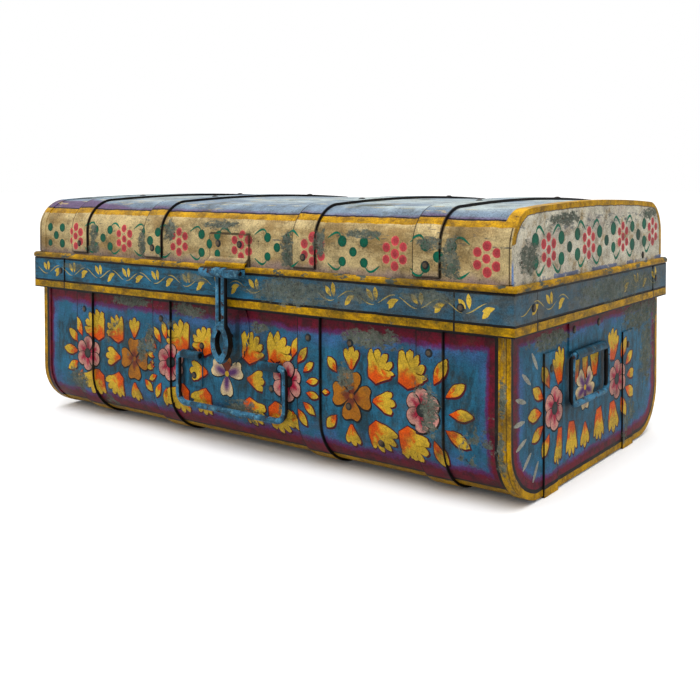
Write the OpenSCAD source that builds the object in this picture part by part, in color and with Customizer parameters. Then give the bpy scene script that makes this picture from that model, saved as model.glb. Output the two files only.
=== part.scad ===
// A painted sheet metal trunk: a U-shaped body, a domed lid with a deep rim, straps, hasp and handles.
// All sizes are in millimetres. +X runs along the length, +Y to the rear, +Z up.
// The origin is on the floor under the middle of the trunk.

/* [Body] */
// Length of the body over its end panels
body_len = 762; // [740:1:790]
// Depth of the body between its front and rear faces
body_depth = 388; // [374:1:404]
// Height of the trunk to the top of the lid's crown
height = 302; // [294:1:310]
// Radius of the two long bottom edges
bottom_r = 60; // [54:1:64]

/* [Lid] */
// Height of the flat rim band below the bead
rim_h = 42; // [40:1:46]
// Straight height of the lid's side above the rim band
lid_side = 40; // [36:1:46]
// Radius of the lid's two long shoulders
shoulder_r = 40; // [36:1:44]
// Extra rise of the lid's crown in the middle
crown_rise = 5; // [3:0.5:8]

/* [Straps] */
// Width of the long straps round the body and the lid
strap_w = 33; // [28:1:36]
// Thickness of the long straps
strap_t = 3; // [2.6:0.1:3.2]

/* [Hasp] */
// Width of the hasp's hinge plate
hasp_w = 66; // [60:1:74]
// Length of the hasp's arm from its pin to its pointed tip
arm_len = 108; // [105:1:111]

/* [Handles] */
// Width of the front handle between the middles of its legs
front_span = 180; // [160:1:196]
// Drop of the front handle from its pivot to its bar
front_drop = 61; // [54:1:64]
// Thickness of the front handle's rod
front_rod = 7; // [6:0.5:8]
// Width of each end handle between the middles of its legs
end_span = 92; // [86:1:100]
// Drop of each end handle from its pivot to its bar
end_drop = 53; // [48:1:56]
// Thickness of the end handles' rod
end_rod = 7; // [6:0.5:8]

/* [Hidden] */
$fn = 48;

// Sheet and common clearances
sheet = 1.2;
plate_t = 2;
seat = 0.3;
gap = 0.3;
run_gap = 0.05;
fine = 0.1;

// Main faces of the body
half_len = body_len / 2;
half_depth = body_depth / 2;
shell_half = half_len - sheet;
floor_gap = strap_t;
flange_w = 14;

// Rim of the lid and the wire round the body's mouth
rim_low = height - crown_rise - shoulder_r - lid_side - rim_h;
lid_over = 3.6;
rim_over = 8.2;
rim_top = rim_low + rim_h;
hem_h = 10;
hem_t = 1;
wire_r = 3;
wire_out = 2;
wire_z = rim_top - 9;
wall_top = wire_z + wire_out;
lid_low = wire_z + wire_r + fine;
lid_half_len = half_len + lid_over;
lid_half_depth = half_depth + lid_over;
rim_half_len = half_len + rim_over;
rim_half_depth = half_depth + rim_over;

// Bead above the rim band
bead_r = 4;
bead_out = lid_over + bead_r - seat;
bead_z = rim_top + bead_r - seat;
bead_reach = bead_out + bead_r;
bead_top = bead_z + bead_r;

// Lid section: two shoulders and a shallow crown from the top of one to the top of the other
shoulder_y = lid_half_depth - shoulder_r;
shoulder_z = rim_top + lid_side;
crown_r = (pow(shoulder_y, 2) + pow(crown_rise, 2)) / (2 * crown_rise);
crown_z = shoulder_z + shoulder_r + crown_rise - crown_r;
lid_flange_w = 12;
lid_flange_low = bead_top + 1;

// Places of the straps, as shares of half the length or half the depth
body_strap_x = [for (share = [-0.748, -0.331, 0.323, 0.753]) share * half_len];
lid_strap_x = [for (share = [-0.761, -0.362, 0.312, 0.748]) share * half_len];
body_strap_top = wire_z - wire_r - 5;
lid_strap_low = bead_top + 3;
end_strap_t = strap_t - sheet;
end_strap_w = 31;
end_strap_y = [-0.577 * half_depth, 0.479 * half_depth];
end_strap_top = [for (below = [27, 33]) rim_low - below];

// Clips round the four corners of the rim band
clip_t = 1;
clip_front = 68;
clip_side = 45;
clip_low = rim_low + hem_h + gap;
clip_high = rim_top - gap;

// Hasp
hasp_top = shoulder_z + 5;
hasp_in_y = half_depth + bead_reach + gap;
knuckle_r = 6;
hasp_pin_r = 3;
hasp_y = hasp_in_y + knuckle_r;
hasp_z = rim_top;
hasp_gap_half = 10.2;
arm_r = 3.75;
leg_x = 4.6;
eye_half = 15;
eye_bar = 7.5;
eye_r = 28.75;
eye_x = eye_half - eye_r;
eye_point = sqrt(pow(eye_r, 2) - pow(eye_x, 2));
eye_z = hasp_z - arm_len + eye_point;
eye_top = sqrt(pow(eye_r - eye_bar, 2) - pow(eye_x, 2)) + 1;

// Staple and its leaf-shaped plate
leaf_t = 1.6;
leaf_half_w = 29;
leaf_half_h = 45;
leaf_r = (pow(leaf_half_h, 2) + pow(leaf_half_w, 2)) / (2 * leaf_half_w);
leaf_z = eye_z + 15;
staple_r = 2.5;
staple_half = 6;
staple_reach = hasp_y - arm_r - 0.45;

// Front handle and its clips
front_r = front_rod / 2;
front_below = 64;
front_z = rim_low - front_below;
front_y = half_depth + plate_t + gap + front_r;
front_tube_r = front_r + 1.75;
front_bend = 8;
front_corner = 14;
front_stub = front_span / 2 - front_bend;
clip_tube_len = 32;
clip_tail_w = 28;
clip_tail_h = 39;
clip_mid_x = front_stub - gap - clip_tube_len / 2;

// End handles and their plates
end_r = end_rod / 2;
end_y = -26;
end_below = 38;
end_z = rim_low - end_below;
end_x = half_len + plate_t + gap + end_r;
end_tube_r = end_r + 1.5;
end_bend = 6.5;
end_corner = 10;
end_stub = end_span / 2 - end_bend;
end_plate_w = 90;
end_plate_low = end_z + end_r + 1.5;
end_plate_top = rim_low + 6;

// Rear hinges
hinge_x = 0.538 * half_len;
leaf_w = 50;
hinge_knuckle_r = 5.5;
hinge_pin_r = 2.5;
hinge_y = rim_half_depth + gap + hinge_knuckle_r;
hinge_z = rim_low - 2;
hinge_mid_half = 9;
lower_leaf_h = 57;
lower_leaf_low = rim_low - lower_leaf_h;
lower_leaf_bend = rim_low - 18;
upper_leaf_low = hinge_z + hinge_knuckle_r + 1;
upper_leaf_top = rim_top - 3;

// Rivets
head_r = 4.6;
head_h = 1.6;
shank_r = 1.5;
tail_r = 3;
tail_h = 0.8;
low_rivet_a = 17;
FRONT = [90, 0, 0];
REAR = [-90, 0, 0];
RIGHT = [0, 90, 0];
LEFT = [0, -90, 0];

// Each rivet is [place of its head's underside, turn, thickness it holds]
function strap_rivets() = [
  for (x = body_strap_x) for (s = [-1, 1])
    [[x, s * (half_depth + strap_t), rim_low - 25], s < 0 ? FRONT : REAR, strap_t + sheet]
];
function plain_rivets() = concat(
  [for (p = [[-54, -53], [181, -26], [179, -95]]) [[p[0], -half_depth, rim_low + p[1]], FRONT, sheet]],
  [[[222, bottom_r * (1 - cos(low_rivet_a)) - half_depth, floor_gap + bottom_r * (1 - sin(low_rivet_a))],
    [90 + low_rivet_a, 0, 0], sheet]]);
function clip_rivets() = [
  for (s = [-1, 1]) [[s * clip_mid_x, -half_depth - plate_t, front_z - 26], FRONT, plate_t + sheet]
];
function end_plate_rivets() = [
  for (s = [-1, 1]) for (y = [end_y - 33, end_y + 31])
    [[s * (half_len + plate_t), y, rim_low - 11], s < 0 ? LEFT : RIGHT, plate_t + sheet]
];
function end_strap_rivets() = [
  for (s = [-1, 1]) for (i = [0, 1])
    [[s * (half_len + end_strap_t), end_strap_y[i], end_strap_top[i] - 17], s < 0 ? LEFT : RIGHT,
     end_strap_t + sheet]
];
function lower_leaf_rivets() = [
  for (s = [-1, 1]) for (dx = [-14, 14])
    [[s * hinge_x + dx, half_depth + plate_t, lower_leaf_low + 14], REAR, plate_t + sheet]
];
function body_rivet_list() = concat(
  strap_rivets(), plain_rivets(), clip_rivets(), end_plate_rivets(), end_strap_rivets(), lower_leaf_rivets());

function lid_strap_rivets() = concat(
  [for (x = lid_strap_x) for (s = [-1, 1])
    [[x, s * (lid_half_depth + strap_t), lid_strap_low + 12], s < 0 ? FRONT : REAR, strap_t + sheet]],
  [for (x = lid_strap_x) for (a = [-2.2, 2.2])
    [[x, (crown_r + strap_t) * sin(a), crown_z + (crown_r + strap_t) * cos(a)], [-a, 0, 0],
     strap_t + sheet]]);
function hasp_rivets() = [
  for (x = [-18, 18]) [[x, -lid_half_depth - plate_t, shoulder_z - 7], FRONT, plate_t + sheet]
];
function upper_leaf_rivets() = [
  for (s = [-1, 1]) for (dx = [-14, 14])
    [[s * hinge_x + dx, rim_half_depth + plate_t, upper_leaf_top - 14], REAR, plate_t + sheet]
];
function corner_rivets() = concat(
  [for (sx = [-1, 1]) for (sy = [-1, 1])
    [[sx * (rim_half_len - clip_front + 8), sy * (rim_half_depth + clip_t), clip_low + 15],
     sy < 0 ? FRONT : REAR, clip_t + sheet]],
  [for (sx = [-1, 1]) for (sy = [-1, 1])
    [[sx * (rim_half_len + clip_t), sy * (rim_half_depth - clip_side + 8), clip_low + 15],
     sx < 0 ? LEFT : RIGHT, clip_t + sheet]]);
function lid_end_rivets() = [
  for (s = [-1, 1]) [[s * lid_half_len, 135, lid_flange_low + 6], s < 0 ? LEFT : RIGHT, sheet]
];
function lid_rivet_list() = concat(
  lid_strap_rivets(), hasp_rivets(), upper_leaf_rivets(), corner_rivets(), lid_end_rivets());

// One rivet, its domed head above z 0 and its shank and flattened tail below
module rivet(grip) {
  dome_r = (pow(head_r, 2) + pow(head_h, 2)) / (2 * head_h);
  intersection() {
    translate([0, 0, head_h - dome_r]) sphere(dome_r);
    cylinder(r = head_r + 1, h = head_h + 1);
  }
  translate([0, 0, -grip - fine]) cylinder(r = shank_r, h = grip + 2 * fine, $fn = 24);
  translate([0, 0, -grip - tail_h]) cylinder(r = tail_r, h = tail_h, $fn = 24);
}

module place(list) {
  for (v = list) translate(v[0]) rotate(v[1]) rivet(v[2]);
}

// Clearance holes for a list of rivets
module holes(list) {
  for (v = list)
    translate(v[0]) rotate(v[1])
      translate([0, 0, -v[2] - 0.5]) cylinder(r = shank_r + run_gap, h = v[2] + 1, $fn = 24);
}

// Turns a section drawn in Y and Z into a bar along X between two places
module along_x(x0, x1) {
  translate([x0, 0, 0]) rotate([90, 0, 90]) linear_extrude(height = x1 - x0) children();
}

// Turns an outline drawn in X and Z into a plate between two places in Y
module along_y(y0, y1) {
  translate([0, y1, 0]) rotate([90, 0, 0]) linear_extrude(height = y1 - y0) children();
}

// A box between two corners
module span(a, b) {
  translate(a) cube([b[0] - a[0], b[1] - a[1], b[2] - a[2]]);
}

// A box centred on the Z axis between two heights
module block(hx, hy, z0, z1) {
  span([-hx, -hy, z0], [hx, hy, z1]);
}

// A closed rectangle of round wire
module wire_ring(hx, hy, z, r) {
  for (s = [-1, 1]) {
    translate([-hx, s * hy, z]) rotate([0, 90, 0]) cylinder(r = r, h = 2 * hx);
    translate([s * hx, hy, z]) rotate([90, 0, 0]) cylinder(r = r, h = 2 * hy);
    for (t = [-1, 1]) translate([s * hx, t * hy, z]) sphere(r);
  }
}

// Section of the body, grown outwards by g, up to a given height
module body_section(g, high) {
  half = half_depth + g;
  r = bottom_r + g;
  low = floor_gap - g;
  translate([-half, low + r]) square([2 * half, high - low - r]);
  translate([r - half, low]) square([2 * (half - r), 2 * r]);
  for (s = [-1, 1]) translate([s * (half - r), low + r]) circle(r, $fn = 96);
}

// Section of the lid, grown outwards by g, down to a given height
module lid_section(g, low) {
  half = lid_half_depth + g;
  crown_half = shoulder_y + 2.5;
  base = shoulder_z - 10;
  translate([-half, low]) square([2 * half, shoulder_z - low]);
  intersection() {
    for (s = [-1, 1]) translate([s * shoulder_y, shoulder_z]) circle(shoulder_r + g, $fn = 96);
    translate([-half - 1, shoulder_z - 2]) square([2 * half + 2, 2 * shoulder_r]);
  }
  intersection() {
    translate([0, crown_z]) circle(crown_r + g, $fn = 720);
    translate([-crown_half, base]) square([2 * crown_half, 2 * shoulder_r]);
  }
}

module body_shell() {
  color("steelblue") difference() {
    along_x(-shell_half, shell_half) difference() {
      body_section(0, wall_top);
      body_section(-sheet, wall_top + 1);
    }
    holes(concat(strap_rivets(), plain_rivets(), clip_rivets(), lower_leaf_rivets()));
    staple_legs(staple_r + run_gap);
  }
}

// An end panel with its flange folded over the shell
module body_end(side) {
  low_top = rim_low + 12;
  color("steelblue") difference() {
    mirror([side < 0 ? 1 : 0, 0, 0]) {
      along_x(shell_half, half_len) body_section(0, wall_top);
      along_x(shell_half, half_len) body_section(sheet, low_top);
      along_x(shell_half - flange_w, shell_half) difference() {
        body_section(sheet, low_top);
        body_section(0, low_top + 1);
      }
    }
    holes(concat(end_plate_rivets(), end_strap_rivets()));
  }
}

// Wire that the top edges of the body are rolled against
module body_rim_wire() {
  color("steelblue") difference() {
    wire_ring(half_len + wire_out, half_depth + wire_out, wire_z, wire_r);
    block(half_len, half_depth, wire_z - 10, wire_z + 10);
  }
}

// A long strap round the front, bottom and rear of the body
module body_strap(i) {
  x = body_strap_x[i];
  color("slategray") difference() {
    along_x(x - strap_w / 2, x + strap_w / 2) difference() {
      body_section(strap_t, body_strap_top);
      body_section(0, body_strap_top + 1);
    }
    holes(strap_rivets());
  }
}

// A short strap down an end panel and under its flange
module end_strap(side, i) {
  y = end_strap_y[i];
  under = floor_gap - sheet;
  color("slategray") difference() {
    mirror([side < 0 ? 1 : 0, 0, 0]) {
      span([half_len, y - end_strap_w / 2, 0], [half_len + end_strap_t, y + end_strap_w / 2, end_strap_top[i]]);
      span([half_len - flange_w - sheet, y - end_strap_w / 2, 0], [half_len, y + end_strap_w / 2, under]);
    }
    holes(end_strap_rivets());
  }
}

module lid_shell() {
  end_x0 = lid_half_len - sheet;
  color("khaki") difference() {
    along_x(-end_x0, end_x0) difference() {
      lid_section(0, lid_low);
      lid_section(-sheet, lid_low - 1);
    }
    holes(concat(lid_strap_rivets(), hasp_rivets()));
  }
}

// An end of the lid with its flange folded over the shell
module lid_end(side) {
  x0 = lid_half_len - sheet;
  color("khaki") difference() {
    mirror([side < 0 ? 1 : 0, 0, 0]) {
      along_x(x0, lid_half_len) lid_section(0, lid_low);
      along_x(x0, lid_half_len) lid_section(sheet, lid_flange_low);
      along_x(x0 - lid_flange_w, x0) difference() {
        lid_section(sheet, lid_flange_low);
        lid_section(0, lid_flange_low - 1);
      }
    }
    holes(lid_end_rivets());
  }
}

// The rim band with its hem below and its turned-in top
module lid_rim() {
  color("steelblue") difference() {
    union() {
      block(rim_half_len, rim_half_depth, rim_low, rim_top);
      difference() {
        block(rim_half_len + hem_t, rim_half_depth + hem_t, rim_low, rim_low + hem_h);
        for (s = [-1, 1])
          span([s * hinge_x - leaf_w / 2 - 1, rim_half_depth, rim_low - 1],
               [s * hinge_x + leaf_w / 2 + 1, rim_half_depth + 2 * hem_t, rim_low + hem_h + 1]);
      }
    }
    block(rim_half_len - sheet, rim_half_depth - sheet, rim_low - 1, rim_top - sheet);
    block(lid_half_len, lid_half_depth, rim_low - 1, rim_top + 1);
    holes(concat(corner_rivets(), upper_leaf_rivets()));
  }
}

// The round bead above the rim band
module lid_bead() {
  color("gold") difference() {
    wire_ring(half_len + bead_out, half_depth + bead_out, bead_z, bead_r);
    block(lid_half_len, lid_half_depth, bead_z - 10, bead_z + 10);
    block(rim_half_len + 10, rim_half_depth + 10, rim_top - 10, rim_top);
  }
}

// A long strap over the front, top and rear of the lid
module lid_strap(i) {
  x = lid_strap_x[i];
  color("khaki") difference() {
    along_x(x - strap_w / 2, x + strap_w / 2) lid_section(strap_t, lid_strap_low);
    along_x(x - strap_w, x + strap_w) lid_section(0, lid_strap_low - 1);
    holes(lid_strap_rivets());
  }
}

// A bent clip round one corner of the rim band
module corner_clip(sx, sy) {
  hx = rim_half_len;
  hy = rim_half_depth;
  color("steelblue") difference() {
    mirror([sx < 0 ? 1 : 0, 0, 0]) mirror([0, sy < 0 ? 1 : 0, 0]) difference() {
      span([hx - clip_front, hy - clip_side, clip_low], [hx + clip_t, hy + clip_t, clip_high]);
      span([0, 0, clip_low - 1], [hx, hy, clip_high + 1]);
    }
    holes(corner_rivets());
  }
}

// Plate on the lid, bent out over the bead and rolled into two knuckles
module hasp_plate() {
  face = -lid_half_depth;
  out = -hasp_in_y;
  jog_low = bead_top + 1.5;
  jog_high = jog_low + 7;
  color("steelblue") difference() {
    union() {
      along_x(-hasp_w / 2, hasp_w / 2) polygon([
        [face, hasp_top], [face, jog_high], [out, jog_low], [out, hasp_z],
        [out - plate_t, hasp_z], [out - plate_t, jog_low + 1], [face - plate_t, jog_high + 1],
        [face - plate_t, hasp_top]
      ]);
      along_x(-hasp_w / 2, hasp_w / 2) translate([-hasp_y, hasp_z]) circle(knuckle_r);
    }
    block(hasp_gap_half, 2 * half_depth, hasp_z - knuckle_r - 1, hasp_z + knuckle_r + 0.4);
    translate([-hasp_w, -hasp_y, hasp_z]) rotate([0, 90, 0]) cylinder(r = hasp_pin_r, h = 2 * hasp_w);
    holes(hasp_rivets());
  }
}

module hasp_pin() {
  reach = hasp_w / 2 - 2;
  color("dimgray") translate([-reach, -hasp_y, hasp_z]) rotate([0, 90, 0]) cylinder(r = hasp_pin_r, h = 2 * reach);
}

// A bent part of a rod in the X and Z plane: centre, radius of the bend, start and sweep
module bend(cx, cz, r, start, sweep, rod_r) {
  translate([cx, 0, cz]) rotate([90, 0, 0]) rotate([0, 0, start])
    rotate_extrude(angle = sweep, $fn = 96) translate([r, 0]) circle(rod_r, $fn = 32);
}

// A pointed oval between two equal arcs, drawn about its middle
module pointed_oval(r, shift) {
  intersection() {
    translate([shift, 0]) circle(r, $fn = 96);
    translate([-shift, 0]) circle(r, $fn = 96);
  }
}

// The swinging arm: two rods side by side, an eye below and a barrel round the pin above
module hasp_arm() {
  half = hasp_gap_half - gap;
  color("steelblue") translate([0, -hasp_y, 0]) difference() {
    union() {
      for (s = [-1, 1])
        translate([s * leg_x, 0, eye_z + eye_top])
          cylinder(r = arm_r, h = hasp_z - hasp_pin_r - eye_z - eye_top, $fn = 32);
      along_y(-arm_r, arm_r) translate([0, eye_z]) difference() {
        pointed_oval(eye_r, eye_x);
        pointed_oval(eye_r - eye_bar, eye_x);
      }
      translate([-half, 0, hasp_z]) rotate([0, 90, 0]) cylinder(r = knuckle_r, h = 2 * half);
    }
    translate([-hasp_w, 0, hasp_z]) rotate([0, 90, 0])
      cylinder(r = hasp_pin_r + run_gap, h = 2 * hasp_w);
  }
}

// The two straight legs of the staple
module staple_legs(r) {
  for (s = [-1, 1])
    translate([0, -half_depth + sheet + 1.2, eye_z + s * staple_half]) rotate([90, 0, 0])
      cylinder(r = r, h = staple_reach - staple_r - staple_half - half_depth + sheet + 1.2, $fn = 32);
}

module staple_plate() {
  color("steelblue") difference() {
    along_y(-half_depth - leaf_t, -half_depth) translate([0, leaf_z])
      pointed_oval(leaf_r, leaf_half_w - leaf_r);
    staple_legs(staple_r + run_gap);
  }
}

// A round-nosed staple whose two ends are spread flat inside the body
module staple() {
  color("dimgray") {
    staple_legs(staple_r);
    translate([0, staple_r + staple_half - staple_reach, eye_z]) rotate([0, 0, -90]) rotate([90, 0, 0])
      rotate([0, 0, -90]) rotate_extrude(angle = 180, $fn = 48) translate([staple_half, 0])
        circle(staple_r, $fn = 32);
    for (s = [-1, 1])
      translate([0, -half_depth + sheet, eye_z + s * staple_half]) rotate([-90, 0, 0])
        cylinder(r = staple_r + 1, h = 1.2, $fn = 32);
  }
}

// A clip that holds one end of the front handle: a tail riveted to the body and a rolled tube
module front_clip(side) {
  x0 = side * clip_mid_x;
  color("steelblue") difference() {
    union() {
      span([x0 - clip_tail_w / 2, -half_depth - plate_t, front_z - clip_tail_h],
           [x0 + clip_tail_w / 2, -half_depth, front_z]);
      along_x(x0 - clip_tube_len / 2, x0 + clip_tube_len / 2)
        translate([-front_y, front_z]) circle(front_tube_r);
    }
    translate([-body_len, -front_y, front_z]) rotate([0, 90, 0])
      cylinder(r = front_r + run_gap, h = 2 * body_len);
    holes(clip_rivets());
  }
}

// Half of a drop handle in the X and Z plane: stub, bend, leg, corner and half of the bar
module handle_half(span_w, drop, bend_r, corner_r, stub_in, rod_r) {
  leg = span_w / 2;
  translate([stub_in, 0, 0]) rotate([0, 90, 0]) cylinder(r = rod_r, h = leg - bend_r - stub_in);
  bend(leg - bend_r, -bend_r, bend_r, 0, 90, rod_r);
  translate([leg, 0, corner_r - drop]) cylinder(r = rod_r, h = drop - corner_r - bend_r);
  bend(leg - corner_r, corner_r - drop, corner_r, -90, 90, rod_r);
  translate([0, 0, -drop]) rotate([0, 90, 0]) cylinder(r = rod_r, h = leg - corner_r);
}

module front_handle() {
  stub_in = front_stub - gap - clip_tube_len + 2;
  color("steelblue") translate([0, -front_y, front_z]) {
    handle_half(front_span, front_drop, front_bend, front_corner, stub_in, front_r);
    mirror([1, 0, 0]) handle_half(front_span, front_drop, front_bend, front_corner, stub_in, front_r);
  }
}

// Plate of an end handle, its lower edge rolled into a tube
module end_plate(side) {
  tube = end_stub - gap;
  color("steelblue") difference() {
    mirror([side < 0 ? 1 : 0, 0, 0]) difference() {
      union() {
        span([half_len, end_y - end_plate_w / 2, end_plate_low],
             [half_len + plate_t, end_y + end_plate_w / 2, end_plate_top]);
        span([half_len, end_y - tube, end_z], [half_len + plate_t, end_y + tube, end_plate_low]);
        translate([end_x, end_y + tube, end_z]) rotate([90, 0, 0]) cylinder(r = end_tube_r, h = 2 * tube);
      }
      translate([end_x, end_y + end_span, end_z]) rotate([90, 0, 0])
        cylinder(r = end_r + run_gap, h = 2 * end_span);
    }
    holes(end_plate_rivets());
  }
}

// An end handle: a closed ring of rod through the tube of its plate
module end_handle(side) {
  color("steelblue") translate([side * end_x, end_y, end_z]) rotate([0, 0, 90]) {
    handle_half(end_span, end_drop, end_bend, end_corner, 0, end_r);
    mirror([1, 0, 0]) handle_half(end_span, end_drop, end_bend, end_corner, 0, end_r);
  }
}

// Lower leaf of a rear hinge: flat on the body, bent out to two knuckles
module hinge_leaf_lower(side) {
  x0 = side * hinge_x;
  dy = hinge_y - half_depth - plate_t / 2;
  dz = hinge_z - lower_leaf_bend;
  len = sqrt(dy * dy + dz * dz);
  ny = dz / len;
  nz = dy / len;
  ey = hinge_y - 4 * ny * dy / dz;
  ez = hinge_z - 4 * dz / len;
  color("slategray") difference() {
    union() {
      along_x(x0 - leaf_w / 2, x0 + leaf_w / 2) polygon([
        [half_depth, lower_leaf_low], [half_depth + plate_t, lower_leaf_low],
        [half_depth + plate_t, lower_leaf_bend - nz], [ey + ny, ez - nz], [ey - ny, ez + nz],
        [half_depth, lower_leaf_bend + nz]
      ]);
      along_x(x0 - leaf_w / 2, x0 + leaf_w / 2) translate([hinge_y, hinge_z]) circle(hinge_knuckle_r);
    }
    span([x0 - hinge_mid_half - gap, half_depth - 1, lower_leaf_bend + 2],
         [x0 + hinge_mid_half + gap, hinge_y + 10, hinge_z + 10]);
    translate([x0 - leaf_w, hinge_y, hinge_z]) rotate([0, 90, 0]) cylinder(r = hinge_pin_r, h = 2 * leaf_w);
    holes(lower_leaf_rivets());
  }
}

// Upper leaf of a rear hinge: flat on the rim band, with one knuckle in the middle
module hinge_leaf_upper(side) {
  x0 = side * hinge_x;
  face = rim_half_depth;
  color("slategray") difference() {
    union() {
      span([x0 - leaf_w / 2, face, upper_leaf_low], [x0 + leaf_w / 2, face + plate_t, upper_leaf_top]);
      span([x0 - hinge_mid_half, face, hinge_z], [x0 + hinge_mid_half, face + plate_t, upper_leaf_low]);
      along_x(x0 - hinge_mid_half, x0 + hinge_mid_half)
        translate([hinge_y, hinge_z]) circle(hinge_knuckle_r);
    }
    translate([x0 - leaf_w, hinge_y, hinge_z]) rotate([0, 90, 0])
      cylinder(r = hinge_pin_r + run_gap, h = 2 * leaf_w);
    holes(upper_leaf_rivets());
  }
}

module hinge_pin(side) {
  color("dimgray") translate([side * hinge_x - leaf_w / 2, hinge_y, hinge_z]) rotate([0, 90, 0])
    cylinder(r = hinge_pin_r, h = leaf_w);
}

body_shell();
body_end(-1);  // body_end_left
body_end(1);  // body_end_right
body_rim_wire();
body_strap(0);  // body_strap_1
body_strap(1);  // body_strap_2
body_strap(2);  // body_strap_3
body_strap(3);  // body_strap_4
end_strap(-1, 0);  // end_strap_left_front
end_strap(-1, 1);  // end_strap_left_rear
end_strap(1, 0);  // end_strap_right_front
end_strap(1, 1);  // end_strap_right_rear
lid_shell();
lid_end(-1);  // lid_end_left
lid_end(1);  // lid_end_right
lid_rim();
lid_bead();
lid_strap(0);  // lid_strap_1
lid_strap(1);  // lid_strap_2
lid_strap(2);  // lid_strap_3
lid_strap(3);  // lid_strap_4
corner_clip(-1, -1);  // corner_clip_front_left
corner_clip(1, -1);  // corner_clip_front_right
corner_clip(-1, 1);  // corner_clip_rear_left
corner_clip(1, 1);  // corner_clip_rear_right
hasp_plate();
hasp_pin();
hasp_arm();
staple_plate();
staple();
front_clip(-1);  // front_clip_left
front_clip(1);  // front_clip_right
front_handle();
end_plate(-1);  // end_plate_left
end_plate(1);  // end_plate_right
end_handle(-1);  // end_handle_left
end_handle(1);  // end_handle_right
hinge_leaf_lower(-1);  // hinge_leaf_lower_left
hinge_leaf_lower(1);  // hinge_leaf_lower_right
hinge_leaf_upper(-1);  // hinge_leaf_upper_left
hinge_leaf_upper(1);  // hinge_leaf_upper_right
hinge_pin(-1);  // hinge_pin_left
hinge_pin(1);  // hinge_pin_right
place(body_rivet_list());  // body_rivets
place(lid_rivet_list());  // lid_rivets
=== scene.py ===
"""Looks of the painted metal trunk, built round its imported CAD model.

The trunk's sheet metal, straps and fittings are the model's own solids with painted, worn metal materials.
The flowers, leaves and berries are thin coats of paint laid on the surfaces as meshes of their own, which
carry their colours. Sizes in this script are in millimetres until a mesh is made.
"""

import math

import bmesh
import bpy
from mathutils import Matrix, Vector, noise

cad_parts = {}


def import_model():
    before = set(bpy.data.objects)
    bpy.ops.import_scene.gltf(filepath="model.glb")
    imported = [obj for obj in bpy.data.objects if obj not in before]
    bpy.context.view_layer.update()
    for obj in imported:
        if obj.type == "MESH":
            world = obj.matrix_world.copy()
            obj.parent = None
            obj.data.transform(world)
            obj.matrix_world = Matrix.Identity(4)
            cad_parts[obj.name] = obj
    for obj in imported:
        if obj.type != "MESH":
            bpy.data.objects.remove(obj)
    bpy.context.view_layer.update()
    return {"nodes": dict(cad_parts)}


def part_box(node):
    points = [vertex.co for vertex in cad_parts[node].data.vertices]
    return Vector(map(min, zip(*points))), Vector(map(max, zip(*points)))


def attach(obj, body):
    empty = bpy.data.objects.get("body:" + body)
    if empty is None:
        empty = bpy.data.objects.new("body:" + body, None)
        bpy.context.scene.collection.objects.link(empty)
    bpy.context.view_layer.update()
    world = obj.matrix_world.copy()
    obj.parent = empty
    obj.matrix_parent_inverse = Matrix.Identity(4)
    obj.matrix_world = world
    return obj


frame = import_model()
MM = 0.001
BOXES = {name: [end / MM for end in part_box(name)] for name in frame["nodes"]}


def corner(node, high=True):
    """The highest or lowest corner of a CAD node, in millimetres."""
    return BOXES[node][1 if high else 0]


# Main sizes, read from the model. The hem, the sheet and the flange have the values of the CAD source
HALF_LEN = corner("body_end_right").x
HALF_DEPTH = corner("body_shell").y
BOTTOM = corner("body_shell", False).z
RIM_LOW = corner("lid_rim", False).z
RIM_TOP = corner("lid_rim").z
LID_HALF_LEN = corner("lid_end_right").x
LID_HALF_DEPTH = corner("lid_shell").y
LID_TOP = corner("lid_shell").z
HEM_T = 1
HEM_TOP = RIM_LOW + 10
RIM_HALF_LEN = corner("lid_rim").x - HEM_T
RIM_HALF_DEPTH = corner("lid_rim").y - HEM_T
SHEET = 1.2
FLANGE = 14

# Section of the body: flat sides down to the long bottom edges
BOTTOM_R = 60
BEND_Y = HALF_DEPTH - BOTTOM_R
BEND_Z = BOTTOM + BOTTOM_R

# Section of the lid: flat sides, round shoulders and a shallow crown
SHOULDER_R = 40
CROWN_RISE = 5
SHOULDER_Y = LID_HALF_DEPTH - SHOULDER_R
SHOULDER_Z = LID_TOP - CROWN_RISE - SHOULDER_R
TOP_V = SHOULDER_Z + SHOULDER_R * math.pi / 2

# Heights of the lid's painted bands
BEAD_TOP = corner("lid_bead").z
STRIPE_LOW = SHOULDER_Z + 24
STRIPE_HIGH = STRIPE_LOW + 8

# Height along the body's skin of the yellow line above its underside
LOW_LINE = BOTTOM + 9

# Painted edges: the flange beside the front, how much of it stays blue at the left, and the hem of an end
FLANGE_EDGE = HALF_LEN - SHEET - FLANGE
LEFT_TRIM = 6.5
HEM_WIDE = 7
HEM_NARROWING = 5.4
LID_FLANGE_EDGE = LID_HALF_LEN - SHEET - 12


def spans(nodes, axis):
    """Low and high of each node along an axis, in millimetres."""
    return [(corner(n, False)[axis], corner(n)[axis]) for n in nodes]


# Straps, plates and clips that stand out from the sheet metal, and the rods' and the arm's half widths
BODY_STRAPS = spans([f"body_strap_{i}" for i in range(1, 5)], 0)
LID_STRAPS = spans([f"lid_strap_{i}" for i in range(1, 5)], 0)
END_STRAPS = spans(["end_strap_right_front", "end_strap_right_rear"], 1)
STRAP_TOP = corner("body_strap_1").z
END_STRAP_TOP = corner("end_strap_right_front").z
LID_STRAP_LOW = corner("lid_strap_1", False).z
HASP_HALF = corner("hasp_plate").x
HASP_TOP = corner("hasp_plate").z
STRAP_T = corner("body_strap_1").y - HALF_DEPTH
PLATE_T = 2
LEAF_T = 1.6
CLIP_T = 1
CLIP_LENGTH = 68
CLIP_SHORT = 45
ROD_R = 3.5
ARM_HALF = 6
ARM_FOOT = corner("hasp_arm", False).z

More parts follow.
